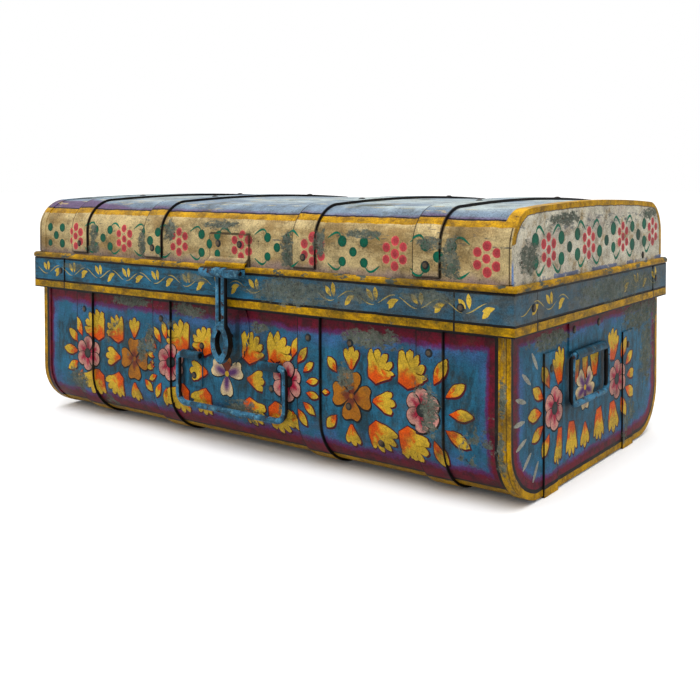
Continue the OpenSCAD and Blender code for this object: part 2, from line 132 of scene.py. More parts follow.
# Colours as painted, in sRGB from 0 to 255
BLUE = (34, 92, 118)
BLUE_DEEP = (28, 66, 82)
BLUE_DARK = (34, 46, 44)
BLUE_BRIGHT = (40, 108, 142)
LIGHT_BLUE = (58, 98, 144)
VIOLET = (88, 38, 88)
MAROON = (106, 12, 36)
BLACK = (14, 12, 13)
OCHRE = (192, 144, 0)
OCHRE_DEEP = (140, 100, 0)
CREAM = (196, 174, 124)
CREAM_DEEP = (150, 124, 78)
CREAM_GREY = (210, 204, 184)
BLUSH = (144, 124, 118)
LID_VIOLET = (92, 74, 104)
LID_BLUE = (108, 126, 143)
LID_PALE = (162, 174, 173)
GREY_GREEN = (78, 86, 76)
RUST = (62, 44, 34)
IRON = (34, 31, 29)
INSIDE = (104, 110, 108)
LEAF_YELLOW = (206, 168, 46)
LEAF_ORANGE = (212, 80, 8)
LEAF_EDGE = (70, 14, 26)
FADED = (150, 150, 138)
PETAL_PINK = (192, 138, 124)
PETAL_ROSE = (156, 22, 52)
PETAL_BROWN = (162, 100, 22)
PETAL_RUST = (106, 46, 28)
PETAL_CREAM = (214, 192, 144)
PETAL_PURPLE = (92, 52, 104)
FLOWER_EYE = (44, 52, 54)
BERRY = (204, 72, 78)
BERRY_HALO = (214, 142, 118)
LEAF_GREEN = (0, 98, 72)
TENDRIL_GREEN = (0, 104, 80)
LEAF_DARK = (16, 40, 34)
VINE_YELLOW = (206, 172, 62)
FADED_VINE = (170, 152, 84)

# Colours of grime, rubbing and chips, and of painted shadow, painted shade and a painted highlight
PAINTED_SHADOW = (16, 22, 26)
GRIME = (60, 56, 40)
CRACK = (30, 26, 22)
CHIPPED = (44, 36, 32)
WORN_PALE = (106, 110, 98)
PIT_BROWN = (104, 80, 48)
SCRATCH_GREY = (74, 82, 84)
SCUFF_SAND = (196, 172, 112)
STRIPE_SHADE = (96, 62, 30)
RUBBED_GREY = (84, 96, 102)
BORDER_BROWN = (52, 36, 20)
FOOT_BLUE = (74, 100, 150)
CORNER_HIGHLIGHT = (206, 198, 176)
CORNER_BLUE = (110, 140, 190)
OUTLINE_AND_SHADE_BROWN = (34, 26, 22)
FOLD_BROWN = (40, 30, 22)
RIM_SLATE = (62, 84, 96)
RIM_GREY = (92, 90, 82)
RIM_DIRT = (74, 70, 12)
BEAD_DIRT = (86, 68, 8)
BEAD_CHIP = (66, 74, 68)
HASP_PAINTED_SHADE = (84, 68, 44)
HARDWARE_BLUE = (60, 120, 152)
HARDWARE_DEEP = (34, 70, 90)
HARDWARE_PALE = (110, 160, 176)
HARDWARE_CHIP = (52, 32, 28)
RIVET_GREY = (52, 60, 62)
RIVET_RUBBED = (112, 94, 72)


def linear(colour, alpha=1.0):
    """An sRGB colour as the linear one that Blender's sockets take."""
    parts = [c / 255 for c in colour]
    return tuple(c / 12.92 if c <= 0.04045 else ((c + 0.055) / 1.055) ** 2.4 for c in parts) + (alpha,)


def blend(a, b, share):
    return tuple(p + (q - p) * share for p, q in zip(a, b))


def soft_step(low, high, v):
    t = min(max((v - low) / (high - low), 0), 1)
    return t * t * (3 - 2 * t)


def within(v, span):
    return span[0] < v < span[1]


class Val:
    """A number on a node tree. Adding, multiplying and the rest make the nodes."""

    def __init__(self, tree, socket):
        self.tree = tree
        self.socket = socket

    def op(self, kind, *others):
        node = self.tree.nodes.new("ShaderNodeMath")
        node.operation = kind
        for i, v in enumerate((self,) + others):
            put(self.tree, node.inputs[i], v)
        return Val(self.tree, node.outputs[0])

    def __add__(self, other):
        return self.op("ADD", other)

    def __sub__(self, other):
        return self.op("SUBTRACT", other)

    def __rsub__(self, other):
        return (self * -1) + other

    def __mul__(self, other):
        return self.op("MULTIPLY", other)

    def __abs__(self):
        return self.op("ABSOLUTE")

    __radd__ = __add__
    __rmul__ = __mul__

    def above(self, low, high):
        """0 below low, 1 above high, and soft between them. Low may be the larger, which turns it round."""
        node = self.tree.nodes.new("ShaderNodeMapRange")
        node.interpolation_type = "SMOOTHSTEP"
        put(self.tree, node.inputs["Value"], self)
        for name, v in (("From Min", low), ("From Max", high), ("To Min", 0), ("To Max", 1)):
            put(self.tree, node.inputs[name], v)
        return Val(self.tree, node.outputs["Result"])

    def between(self, low, high, soft):
        return self.above(low, low + soft) * self.above(high, high - soft)


def put(tree, socket, v):
    """Sets a socket to a number or colour, or links a value to it."""
    if isinstance(v, Val):
        tree.links.new(v.socket, socket)
    elif isinstance(v, tuple):
        socket.default_value = linear(v)
    else:
        socket.default_value = v


def parts_of(tree, socket):
    """The x, y and z of a vector socket."""
    node = tree.nodes.new("ShaderNodeSeparateXYZ")
    tree.links.new(socket, node.inputs[0])
    return [Val(tree, out) for out in node.outputs]


def end_with(tree, shader, kind="Material"):
    """Links a shader to the tree's output."""
    end = tree.nodes.new(f"ShaderNodeOutput{kind}")
    tree.links.new(shader.outputs[0], end.inputs["Surface"])


def emptied(thing):
    """The node tree of a new material or world, with nothing in it."""
    thing.use_nodes = True
    thing.node_tree.nodes.clear()
    return thing.node_tree


class Paint:
    """Makes a material's nodes from a place on the trunk, with x, y and z in millimetres."""

    def __init__(self, tree):
        self.tree = tree
        self.coords = tree.nodes.new("ShaderNodeTexCoord").outputs["Object"]
        self.x, self.y, self.z = (v * (1 / MM) for v in parts_of(tree, self.coords))

    def noise(self, size, detail=2.0, rough=0.5, stretch=(1, 1, 1), seed=0.0):
        """Noise from 0 to 1 whose features are about size millimetres across."""
        place = self.tree.nodes.new("ShaderNodeMapping")
        self.tree.links.new(self.coords, place.inputs["Vector"])
        place.inputs["Scale"].default_value = [1 / (size * MM * s) for s in stretch]
        place.inputs["Location"].default_value = (seed, seed * 0.7, -seed)
        node = self.tree.nodes.new("ShaderNodeTexNoise")
        self.tree.links.new(place.outputs[0], node.inputs["Vector"])
        node.inputs["Scale"].default_value = 1
        node.inputs["Detail"].default_value = detail
        node.inputs["Roughness"].default_value = rough
        return Val(self.tree, node.outputs["Fac"])

    def normal(self, axis):
        """How far the surface faces along an axis of the trunk, from -1 to 1."""
        facing = self.tree.nodes.new("ShaderNodeTexCoord").outputs["Normal"]
        return parts_of(self.tree, facing)[axis]

    def mix(self, share, a, b):
        node = self.tree.nodes.new("ShaderNodeMix")
        node.data_type = "RGBA"
        put(self.tree, node.inputs["Factor"], share)
        put(self.tree, node.inputs["A"], a)
        put(self.tree, node.inputs["B"], b)
        return Val(self.tree, node.outputs["Result"])

    def shade(self, colour, factor):
        """Darkens or lightens a colour by a factor that varies over the surface."""
        node = self.tree.nodes.new("ShaderNodeVectorMath")
        node.operation = "SCALE"
        put(self.tree, node.inputs[0], colour)
        put(self.tree, node.inputs["Scale"], factor)
        return Val(self.tree, node.outputs[0])

    def colours(self, position, stops):
        """A colour that runs through (position, colour) stops."""
        colour = stops[0][1]
        for (low, _), (high, then) in zip(stops, stops[1:]):
            colour = self.mix(position.above(low, high), colour, then)
        return colour

    def vector(self, kind, socket, other=(0, 0, 0)):
        """A vector worked out from a socket and other sizes in millimetres."""
        node = self.tree.nodes.new("ShaderNodeVectorMath")
        node.operation = kind
        self.tree.links.new(socket, node.inputs[0])
        node.inputs[1].default_value = [v * MM for v in other]
        return node.outputs

    def patch(self, middle, reach):
        """Distance from a point, as a share of a reach in x, y and z."""
        shift = self.vector("SUBTRACT", self.coords, middle)[0]
        share = self.vector("DIVIDE", shift, reach)[0]
        return Val(self.tree, self.vector("LENGTH", share)["Value"])


def hypot(a, b):
    return (a * a + b * b).op("SQRT")


def most(first, *others):
    """The largest of some values at each place."""
    for other in others:
        first = first.op("MAXIMUM", other)
    return first


def least(first, *others):
    """The smallest of some values at each place."""
    for other in others:
        first = first.op("MINIMUM", other)
    return first


def either(share, a, b):
    """The value a where the share is 0, and b where it is 1."""
    return a + (b - a) * share


def outermost(value, half):
    """1 on the face at a half size of the trunk, and 0 on the faces of the sheet behind it."""
    return value.above(half - 0.7, half - 0.5)


def group(name, outputs, make, takes_colour=False):
    """A node group that make(paint, colour) fills. It returns the values of the outputs in order."""
    tree = bpy.data.node_groups.new(name, "ShaderNodeTree")
    if takes_colour:
        tree.interface.new_socket("Color", in_out="INPUT", socket_type="NodeSocketColor")
    for out in outputs:
        kind = "NodeSocketColor" if out == "Color" else "NodeSocketFloat"
        tree.interface.new_socket(out, in_out="OUTPUT", socket_type=kind)
    paint = Paint(tree)
    colour = None
    if takes_colour:
        colour = Val(tree, tree.nodes.new("NodeGroupInput").outputs["Color"])
    end = tree.nodes.new("NodeGroupOutput")
    for out, v in zip(outputs, make(paint, colour)):
        put(tree, end.inputs[out], v)
    return tree


def use(tree, inner, colour=None):
    """Places a node group in a tree and returns its outputs by name."""
    node = tree.nodes.new("ShaderNodeGroup")
    node.node_tree = inner
    if colour is not None:
        put(tree, node.inputs["Color"], colour)
    return {out.name: Val(tree, out) for out in node.outputs}


def body_places(p):
    """Depth under the body's U-shaped outline, and the height measured along its skin."""
    over_y = most(abs(p.y) - BEND_Y, 0)
    over_z = most(BEND_Z - p.z, 0)
    depth = BOTTOM_R - hypot(over_y, over_z)
    along = most(p.z, BEND_Z) - over_z.op("ARCTAN2", over_y) * BOTTOM_R
    return depth, along


def lid_places(p):
    """Depth under the lid's domed outline, and the height measured along its skin."""
    share = p.y * (1 / SHOULDER_Y)
    crown = most(1 - share * share, 0) * CROWN_RISE
    over_y = most(abs(p.y) - SHOULDER_Y, 0)
    over_z = most(p.z - crown - SHOULDER_Z, 0)
    depth = SHOULDER_R - hypot(over_y, over_z)
    inner_y = SHOULDER_Y - least(abs(p.y), SHOULDER_Y)
    along = least(p.z, SHOULDER_Z) + over_z.op("ARCTAN2", over_y) * SHOULDER_R + inner_y
    return depth, along


def line_at(value, place, half, soft=0.4):
    """1 on a painted line of a half width about a place, and 0 beside it."""
    off = abs(value - place)
    return off.above(half + soft, half)


def edge_lines_and_shade(place, straps, half=0.9):
    """The dark lines along both edges of each strap: painted lines and painted shade at the strap's edge."""
    middles = [((low + high) / 2, (high - low) / 2) for low, high in straps]
    return most(*(line_at(abs(place - middle), reach, half, 0.5) for middle, reach in middles))


def foot_lines_and_shade(p, straps, foot):
    """The dark line along the lower end of each strap: a painted line and painted shade under the strap's
    end.
    """
    feet = [abs(p.x - (low + high) / 2).above((high - low) / 2 + 1, (high - low) / 2 + 0.5)
            for low, high in straps]
    return most(*feet) * line_at(p.z, foot, 1.1, 0.6)


def handle_shadow_ring(across, up, node, axis):
    """Painted shadow on the sheet along the outline of a handle at rest."""
    low, high = BOXES[node]
    half = (high[axis] - low[axis]) / 2 - ROD_R
    rise = (high.z - low.z) / 2 - ROD_R
    beside = abs(across - (low[axis] + high[axis]) / 2) - half
    above = abs(up - (low.z + high.z) / 2) - rise
    return line_at(most(beside, above), 0, 3, 5)


# Shades of the blue, from the dark smears to the brighter places
BLUE_STOPS = [(0.36, BLUE_DARK), (0.44, BLUE_DEEP), (0.52, BLUE), (0.62, BLUE_BRIGHT)]

# Where the colours of a panel's border end, by the distance from its edge
BLACK_TO = 2.8
MAROON_TO = 8
VIOLET_AT = 11
PALE_AT = 14.5
BLUE_FROM = 25


def blue_paint(p):
    """Blue brushed on in upright streaks, with darker smears and brighter places."""
    streaks = p.noise(6, 5, 0.7, stretch=(1, 1, 3), seed=3) * 0.5 + p.noise(60, 6, 0.7, seed=4) * 0.5
    return p.colours(streaks, BLUE_STOPS)


def yellow_paint(p, seed, stretch=(1, 1, 1)):
    streaks = p.noise(12, 6, 0.72, stretch=stretch, seed=seed)
    return p.mix(streaks.above(0.42, 0.64), OCHRE, OCHRE_DEEP)


def bordered(p, distance):
    """The painted panel from its edge inwards: black line, maroon, violet, light blue and blue."""
    drift = (p.noise(40, 2, 0.6) - 0.5) * 9 + (p.noise(4, 4, 0.7) - 0.5) * 7
    soft = distance + drift * distance.above(2, 9)
    maroon = p.mix(p.noise(14, 4, 0.7, seed=7).above(0.4, 0.65), MAROON, blend(MAROON, BLACK, 0.45))
    pale = p.mix(p.noise(34, 4, 0.6, seed=8).above(0.4, 0.6), LIGHT_BLUE, BLUE)
    stops = [(MAROON_TO, maroon), (VIOLET_AT, VIOLET), (PALE_AT, pale), (BLUE_FROM, blue_paint(p))]
    return p.mix(distance.above(BLACK_TO + 0.6, BLACK_TO), p.colours(soft, stops), BLACK)


def body_outlines_and_shade(p, on_end):
    """The dark lines along the straps of the body's sides and ends: painted lines and painted shade at their
    edges.
    """
    side_lines = edge_lines_and_shade(p.x, BODY_STRAPS) * p.z.above(STRAP_TOP + 1.5, STRAP_TOP + 0.5)
    end_lines = edge_lines_and_shade(p.y, END_STRAPS) * p.z.above(END_STRAP_TOP + 1.5, END_STRAP_TOP + 0.5)
    return either(on_end, side_lines, end_lines)


def handle_and_arm_shadows(p, on_end):
    """Painted shadow behind the handles and beside the hasp's arm, in patches."""
    beside_arm = line_at(abs(p.x), ARM_HALF + 4, 2.5, 3) * p.z.above(ARM_FOOT, ARM_FOOT + 8)
    at_front = most(handle_shadow_ring(p.x, p.z, "front_handle", 0), beside_arm) * p.y.above(0, -1)
    at_end = handle_shadow_ring(p.y, p.z, "end_handle_right", 1)
    return either(on_end, at_front, at_end) * p.noise(16, 4, 0.7, seed=55).above(0.34, 0.56)


def body_edges(p, colour, to_flange, on_side, yellow_places):
    """The yellow edges over the panel's colour, with a greyed and a black line along the flange."""
    colour = p.mix(yellow_places, colour, yellow_paint(p, 5.5, (1, 1, 1.7)))
    flange = on_side * to_flange.above(-1.4, -1.8)
    greyed = p.noise(7, 5, 0.7, stretch=(1, 1, 6), seed=24).above(0.5, 0.6)
    greyed *= line_at(to_flange, -6, 3.4, 1.5)
    colour = p.mix(flange * greyed * 0.6, colour, GREY_GREEN)
    return p.mix(flange * line_at(to_flange, -10.6, 0.3, 0.5) * 0.7, colour, BLACK)


def body_coat(p, _):
    depth, along = body_places(p)
    drift = (p.noise(18, 1, seed=5) - 0.5) * 1.6
    on_end = outermost(abs(p.x), HALF_LEN)
    on_side = 1 - on_end
    edge = depth + SHEET
    to_top = RIM_LOW - p.z
    to_low = along - LOW_LINE
    to_flange = FLANGE_EDGE - abs(p.x) + p.x.above(1, -1) * LEFT_TRIM
    low_corner = (p.y * -1).above(BEND_Y - 30, BEND_Y + 30) * p.z.above(8, BEND_Z)
    hem_w = HEM_WIDE - low_corner * HEM_NARROWING
    # At the top the black border runs under the rim's hem: a painted line and painted shadow of the hem
    side = least(to_flange, to_top * 0.6 + 1.2, to_low * 0.45 + 1.2)
    end = least((edge - hem_w + drift) * 0.8, to_top)
    colour = bordered(p, either(on_end, side, end))
    colour = p.mix(body_outlines_and_shade(p, on_end) * 0.85, colour, BLACK)
    # Painted shadow round the handles and beside the hasp's arm
    colour = p.mix(handle_and_arm_shadows(p, on_end) * 0.7, colour, PAINTED_SHADOW)
    hem = on_end * (edge + drift - hem_w).above(0, -0.6)
    flange = on_side * to_flange.above(-1.4, -1.8)
    low = on_side * (to_low + drift).above(0.4, 0)
    colour = body_edges(p, colour, to_flange, on_side, most(hem, flange, low))
    colour = p.mix(on_side * along.above(-16, -19), colour, p.mix(p.noise(30, 3), BLUE_DEEP, RUST))
    behind_rim = p.mix(p.noise(12, 4, 0.7, seed=57).above(0.4, 0.6), BLUE_DEEP, BLUE_DARK)
    colour = p.mix(p.z.above(RIM_LOW + 3, RIM_LOW + 4), colour, behind_rim)
    return (p.mix(depth.above(0.5, 0.7) * on_side, colour, inside_coat(p)),)


def inside_coat(p):
    grey = p.mix(p.noise(60, 4, 0.6, seed=12).above(0.4, 0.7), INSIDE, blend(INSIDE, RUST, 0.25))
    return p.mix(p.noise(25, 5, 0.7, seed=14).above(0.58, 0.70) * 0.7, grey, RUST)


def lid_band(p, v):
    """The lid's cream band, pinker at its foot, pitted all over and scratched under the stripe."""
    cream = p.mix(p.noise(34, 5, 0.65, stretch=(2, 1, 1)).above(0.42, 0.62), CREAM, CREAM_DEEP)
    blush = (p.noise(22, 4, 0.65, seed=2) - 0.5) * 22
    band = p.colours(v + blush, [(BEAD_TOP - 4, BLUSH), (BEAD_TOP + 13, cream)])
    pits = p.noise(2.4, 4, 0.75, seed=51).above(0.54, 0.64) * p.noise(30, 3, 0.6, seed=52).above(0.40, 0.58)
    scratches = p.noise(3.5, 4, 0.7, stretch=(6, 1, 1), seed=25).above(0.6, 0.64)
    scratches = scratches * p.noise(44, 3, 0.6, seed=26).above(0.46, 0.56)
    scratches = scratches * v.between(BEAD_TOP + 24, STRIPE_LOW, 8)
    return p.mix(scratches * 0.8, p.mix(pits * 0.55, band, PIT_BROWN), SCRATCH_GREY)


def lid_sky(p, v):
    """The lid's pale blue top, violet beside the stripe and more so at the left."""
    sky = p.mix(p.noise(60, 4, 0.6, stretch=(3, 1, 1), seed=4).above(0.38, 0.62), LID_PALE, LID_BLUE)
    violet = (p.noise(30, 3, 0.6, stretch=(2, 1, 1), seed=27) - 0.5) * 16 - p.x.above(-170, -350) * 19
    stops = [(STRIPE_HIGH + 1, LID_VIOLET), (STRIPE_HIGH + 9, LID_BLUE), (STRIPE_HIGH + 28, sky)]
    scuffs = p.noise(7, 4, 0.7, stretch=(5, 1, 1), seed=53).above(0.56, 0.62)
    scuffs = scuffs * p.noise(90, 2, 0.6, seed=54).above(0.5, 0.6)
    return p.mix(scuffs * 0.7, p.colours(v + violet, stops), SCUFF_SAND)


def lid_outlines_and_shade(p, v):
    """The dark lines round the lid's straps and the hasp's plate: painted lines and painted shade at their
    edges.
    """
    ax = abs(p.x)
    straps = edge_lines_and_shade(p.x, LID_STRAPS, 1.0) * p.z.above(LID_STRAP_LOW - 1.2, LID_STRAP_LOW - 0.4)
    feet = foot_lines_and_shade(p, LID_STRAPS, LID_STRAP_LOW) * v.above(SHOULDER_Z, SHOULDER_Z - 1)
    sides = line_at(ax, HASP_HALF, 1.0, 0.6) * p.z.above(HASP_TOP + 1, HASP_TOP + 0.5)
    top = line_at(p.z, HASP_TOP, 1.0, 0.6) * ax.above(HASP_HALF + 1, HASP_HALF + 0.5)
    return most(straps, feet, most(sides, top) * p.y.above(0, -1))


def lid_end_paint(p, edge, stripe):
    """The lid's end: rubbed cream in a yellow border, with blue along its foot and down its front corner,
    and a painted highlight along that corner's edge above the blue.
    """
    cream = p.mix(p.noise(22, 6, 0.75, seed=21).above(0.46, 0.70), CREAM_GREY, CREAM_DEEP)
    cream = p.mix(p.noise(50, 2, 0.6, seed=28).above(0.5, 0.7) * 0.4, cream, BLUSH)
    rubbed = p.noise(4, 4, 0.75, stretch=(1, 4, 1), seed=45).above(0.52, 0.58)
    rubbed = rubbed * p.noise(50, 3, 0.6, seed=46).above(0.44, 0.54)
    rubbed = rubbed * p.z.between(SHOULDER_Z + 12, SHOULDER_Z + 34, 7)
    cream = p.mix(rubbed * 0.75, cream, RUBBED_GREY)
    corner_low = p.y.above(-SHOULDER_Y - 6, -SHOULDER_Y - 12) * p.z.above(SHOULDER_Z + 8, SHOULDER_Z + 2)
    inner = edge + corner_low * 20
    end = p.mix(inner.above(6.5, 5.8), cream, stripe)
    end = p.mix(inner.between(5.6, 7.2, 0.5) * 0.85, end, BORDER_BROWN)
    foot = p.z + (p.noise(12, 5, 0.7, seed=29) - 0.5) * 9
    patchy = p.noise(30, 4, 0.7, seed=47).above(0.46, 0.54)
    end = p.mix(foot.above(BEAD_TOP + 4, BEAD_TOP + 3) * patchy * 0.8, end, FOOT_BLUE)
    # Along the front corner's edge: a painted highlight above and blue paint below
    corner_highlight_and_blue = p.mix(p.z.above(BEAD_TOP + 26, BEAD_TOP + 16), CORNER_HIGHLIGHT, CORNER_BLUE)
    return p.mix(edge.above(3.4, 2.4) * corner_low, end, corner_highlight_and_blue)


def lid_coat(p, _):
    depth, along = lid_places(p)
    drift = (p.noise(22, 2, seed=6) - 0.5) * 3 + (p.noise(4, 1, seed=7) - 0.5) * 1.2
    v = along + drift
    ax = abs(p.x)
    on_end = outermost(ax, LID_HALF_LEN)
    on_side = 1 - on_end
    stripe = yellow_paint(p, 5.5, (1.7, 1, 1))
    stripe = p.mix(p.x.above(-120, -330) * 0.22, stripe, STRIPE_SHADE)
    from_stripe = v.above(STRIPE_LOW - 0.5, STRIPE_LOW)
    colour = p.mix(from_stripe, lid_band(p, v), stripe)
    colour = p.mix(v.above(STRIPE_HIGH - 0.4, STRIPE_HIGH), colour, lid_sky(p, v))
    colour = p.mix(v.between(STRIPE_HIGH - 0.3, STRIPE_HIGH + 2.2, 0.5), colour, BLACK)
    # Dark lines and painted shade round the straps and the hasp's plate
    colour = p.mix(lid_outlines_and_shade(p, v) * 0.8, colour, OUTLINE_AND_SHADE_BROWN)
    colour = p.mix(on_end, colour, lid_end_paint(p, depth + SHEET + drift, stripe))
    right_flange = on_side * ax.above(LID_FLANGE_EDGE - 0.2, LID_FLANGE_EDGE + 0.2) * p.x.above(-1, 1)
    colour = p.mix(right_flange * from_stripe, colour, stripe)
    fold = line_at(ax, LID_HALF_LEN - 3, 0.5, 0.6) * on_side * v.above(STRIPE_LOW, STRIPE_LOW - 1)
    colour = p.mix(fold * 0.8, colour, FOLD_BROWN)
    return (p.mix(depth.above(0.5, 0.7) * on_side, colour, inside_coat(p)),)


def rim_coat(p, _):
    ax, ay = abs(p.x), abs(p.y)
    v = p.z + (p.noise(25, 2, seed=9) - 0.5) * 2
    streaks = p.noise(5, 5, 0.7, stretch=(5, 5, 1), seed=10) * 0.5 + p.noise(60, 4, 0.65, seed=11) * 0.5
    greyed = p.mix(p.noise(30, 5, 0.65, seed=11).above(0.4, 0.6), RIM_SLATE, RIM_GREY)
    on_end = ax.above(RIM_HALF_LEN - 1, RIM_HALF_LEN - 0.5)
    on_side = 1 - on_end
    to_right = p.x.above(40, 120) * on_side * 0.55
    colour = p.mix(most(on_end * 0.75, to_right), p.colours(streaks, BLUE_STOPS), greyed)
    dirt = p.noise(11, 6, 0.72, stretch=(2, 2, 1), seed=56).above(0.42, 0.62) * 0.6
    yellow = p.mix(dirt, yellow_paint(p, 13, (1.8, 1.8, 1)), RIM_DIRT)
    colour = p.mix(v.above(HEM_TOP + 1.2, HEM_TOP + 0.8), colour, yellow)
    colour = p.mix(v.between(HEM_TOP - 0.6, HEM_TOP + 2.6, 0.6), colour, BLACK)
    # Black under the bead: a painted line and painted shadow of the bead
    colour = p.mix(v.above(RIM_TOP - 2.2, RIM_TOP - 1.4), colour, BLACK)
    colour = p.mix(p.z.above(RIM_LOW + 1.8, RIM_LOW + 1.2), colour, BLACK)
    clip_front = line_at(ax, RIM_HALF_LEN - CLIP_LENGTH, 0.9, 0.5) * on_side
    clip_end = line_at(ay, RIM_HALF_DEPTH - CLIP_SHORT, 0.9, 0.5) * on_end
    colour = p.mix(most(clip_front, clip_end), colour, BLACK)
    outer = most(outermost(ax, RIM_HALF_LEN), outermost(ay, RIM_HALF_DEPTH))
    return (p.mix(outer, inside_coat(p), colour),)


def bead_coat(p, _):
    yellow = yellow_paint(p, 15, (1.8, 1.8, 1))
    chips = p.noise(11, 5, 0.7, stretch=(3, 3, 1), seed=16).above(0.54, 0.58)
    dirt = p.noise(14, 5, 0.7, stretch=(2, 2, 1), seed=58).above(0.42, 0.62) * 0.55
    colour = p.mix(chips, p.mix(dirt, yellow, BEAD_DIRT), BEAD_CHIP)
    # The bead's underside is black: a painted line and painted shadow
    return (p.mix(p.z.above(RIM_TOP + 1.4, RIM_TOP + 0.9), colour, BLACK),)


def hasp_coat(p, _):
    """The hasp's plate is painted with the lid and its bead, and its rolled foot with the arm. Its lower
    part carries painted shade at its bend, and a black band of painted line and painted shadow lies above
    the knuckles.
    """
    # The plate's lower part, at its bend, takes half of a painted shade colour
    plate = p.mix(p.z.above(BEAD_TOP + 9, BEAD_TOP + 5) * 0.5, lid_coat(p, None)[0], HASP_PAINTED_SHADE)
    foot = p.mix(p.z.above(BEAD_TOP + 4.6, BEAD_TOP + 4), plate, yellow_paint(p, 15, (1.8, 1.8, 1)))
    # A black band above the knuckles: a painted line and painted shadow
    foot = p.mix(p.z.between(BEAD_TOP - 5, BEAD_TOP - 1.5, 0.5), foot, BLACK)
    return (p.mix(p.z.above(BEAD_TOP - 3, BEAD_TOP - 3.6), foot, hardware_coat(p, None)[0]),)


def hardware_coat(p, _):
    blue = p.mix(p.noise(18, 4, 0.65, seed=17).above(0.42, 0.6), HARDWARE_BLUE, HARDWARE_DEEP)
    pale = p.mix(p.noise(7, 4, 0.65, seed=18).above(0.54, 0.68) * 0.6, blue, HARDWARE_PALE)
    return (p.mix(p.noise(10, 5, 0.7, seed=19).above(0.57, 0.61), pale, HARDWARE_CHIP),)


def iron_coat(p, _):
    return (p.mix(p.noise(6, 4, 0.7, seed=20).above(0.45, 0.65), IRON, RUST),)


def rivet_coat(p, _):
    painted_over = p.mix(p.noise(7, 3, 0.6, seed=22).above(0.5, 0.62), RIVET_GREY, BLUE_DEEP)
    old = p.mix(p.noise(4, 3, 0.7, seed=23).above(0.5, 0.6), painted_over, RUST)
    crown = most(*(abs(p.normal(axis)) for axis in range(3))).above(0.9, 0.97)
    return (p.mix(crown * 0.6, p.mix(0.6, old, BLACK), RIVET_RUBBED),)


def worn_front(y, deep, *places):
    """Worn places on a face that looks along y, from their x, their z and half their width and height."""
    return [((x, y, z), (across, deep, up)) for x, z, across, up in places]


def worn_right(x, deep, *places):
    """Worn places on a face that looks along x, from their y, their z and half their width and height."""
    return [((x, y, z), (deep, across, up)) for y, z, across, up in places]


# The large worn places of the photograph: along the panel's top, on its flowers, corners and bends
WORN_BODY = worn_front(
    -194, 30, (-190, 167, 36, 7), (-78, 164, 28, 8), (44, 153, 14, 7), (205, 156, 38, 10),
    (174, 112, 11, 16), (288, 90, 10, 24), (-168, 104, 9, 14), (-150, 118, 12, 20))
WORN_BODY += worn_front(-190, 30, (14, 52, 30, 12), (-300, 52, 22, 16))
WORN_BODY += worn_front(-195, 12, (372, 112, 4, 20))
WORN_BODY += worn_front(-192, 12, (370, 62, 4, 16))
WORN_BODY += worn_right(381, 12, (140, 158, 60, 20), (-110, 160, 44, 9), (158, 108, 20, 40))

# On the lid: down the straps' edges, on the band's top, its crown and its right end
WORN_LID = worn_front(
    -200, 20, (92, 246, 10, 20), (141, 256, 7, 16), (313, 246, 11, 24), (-108, 262, 12, 14),
    (-160, 246, 9, 18), (-262, 250, 8, 16), (290, 262, 14, 8))
WORN_LID += worn_front(-190, 20, (200, 268, 24, 5))
WORN_LID += worn_front(-196, 14, (-20, 272, 30, 5))
WORN_LID += worn_front(-150, 14, (180, 296, 26, 12))
WORN_LID += worn_right(384, 12, (-166, 249, 20, 16), (-84, 285, 36, 7), (158, 284, 24, 7))

# On the rim band: right of the hasp, near its ends and along its right end
WORN_RIM = worn_front(
    -202, 20, (100, 200, 68, 14), (205, 204, 22, 9), (-60, 206, 26, 6), (290, 206, 30, 8),
    (-300, 208, 24, 5))
WORN_RIM += worn_right(389, 20, (60, 200, 120, 13))


def worn_share(p, places):
    """1 where the paint is worn off: here and there, and in ragged patches at the places given."""
    ragged = (p.noise(6, 6, 0.75, stretch=(2, 2, 1), seed=30) - 0.5) * 3.2
    spread = p.noise(95, 5, 0.68, seed=31) + (p.noise(10, 5, 0.75, seed=32) - 0.5) * 0.3
    patches = [(p.patch(middle, reach) + ragged).above(1.1, 0.8) for middle, reach in places]
    speckled = p.noise(3, 4, 0.8, stretch=(2, 2, 1), seed=44).above(0.28, 0.5)
    return most(spread.above(0.64, 0.67), *patches) * speckled


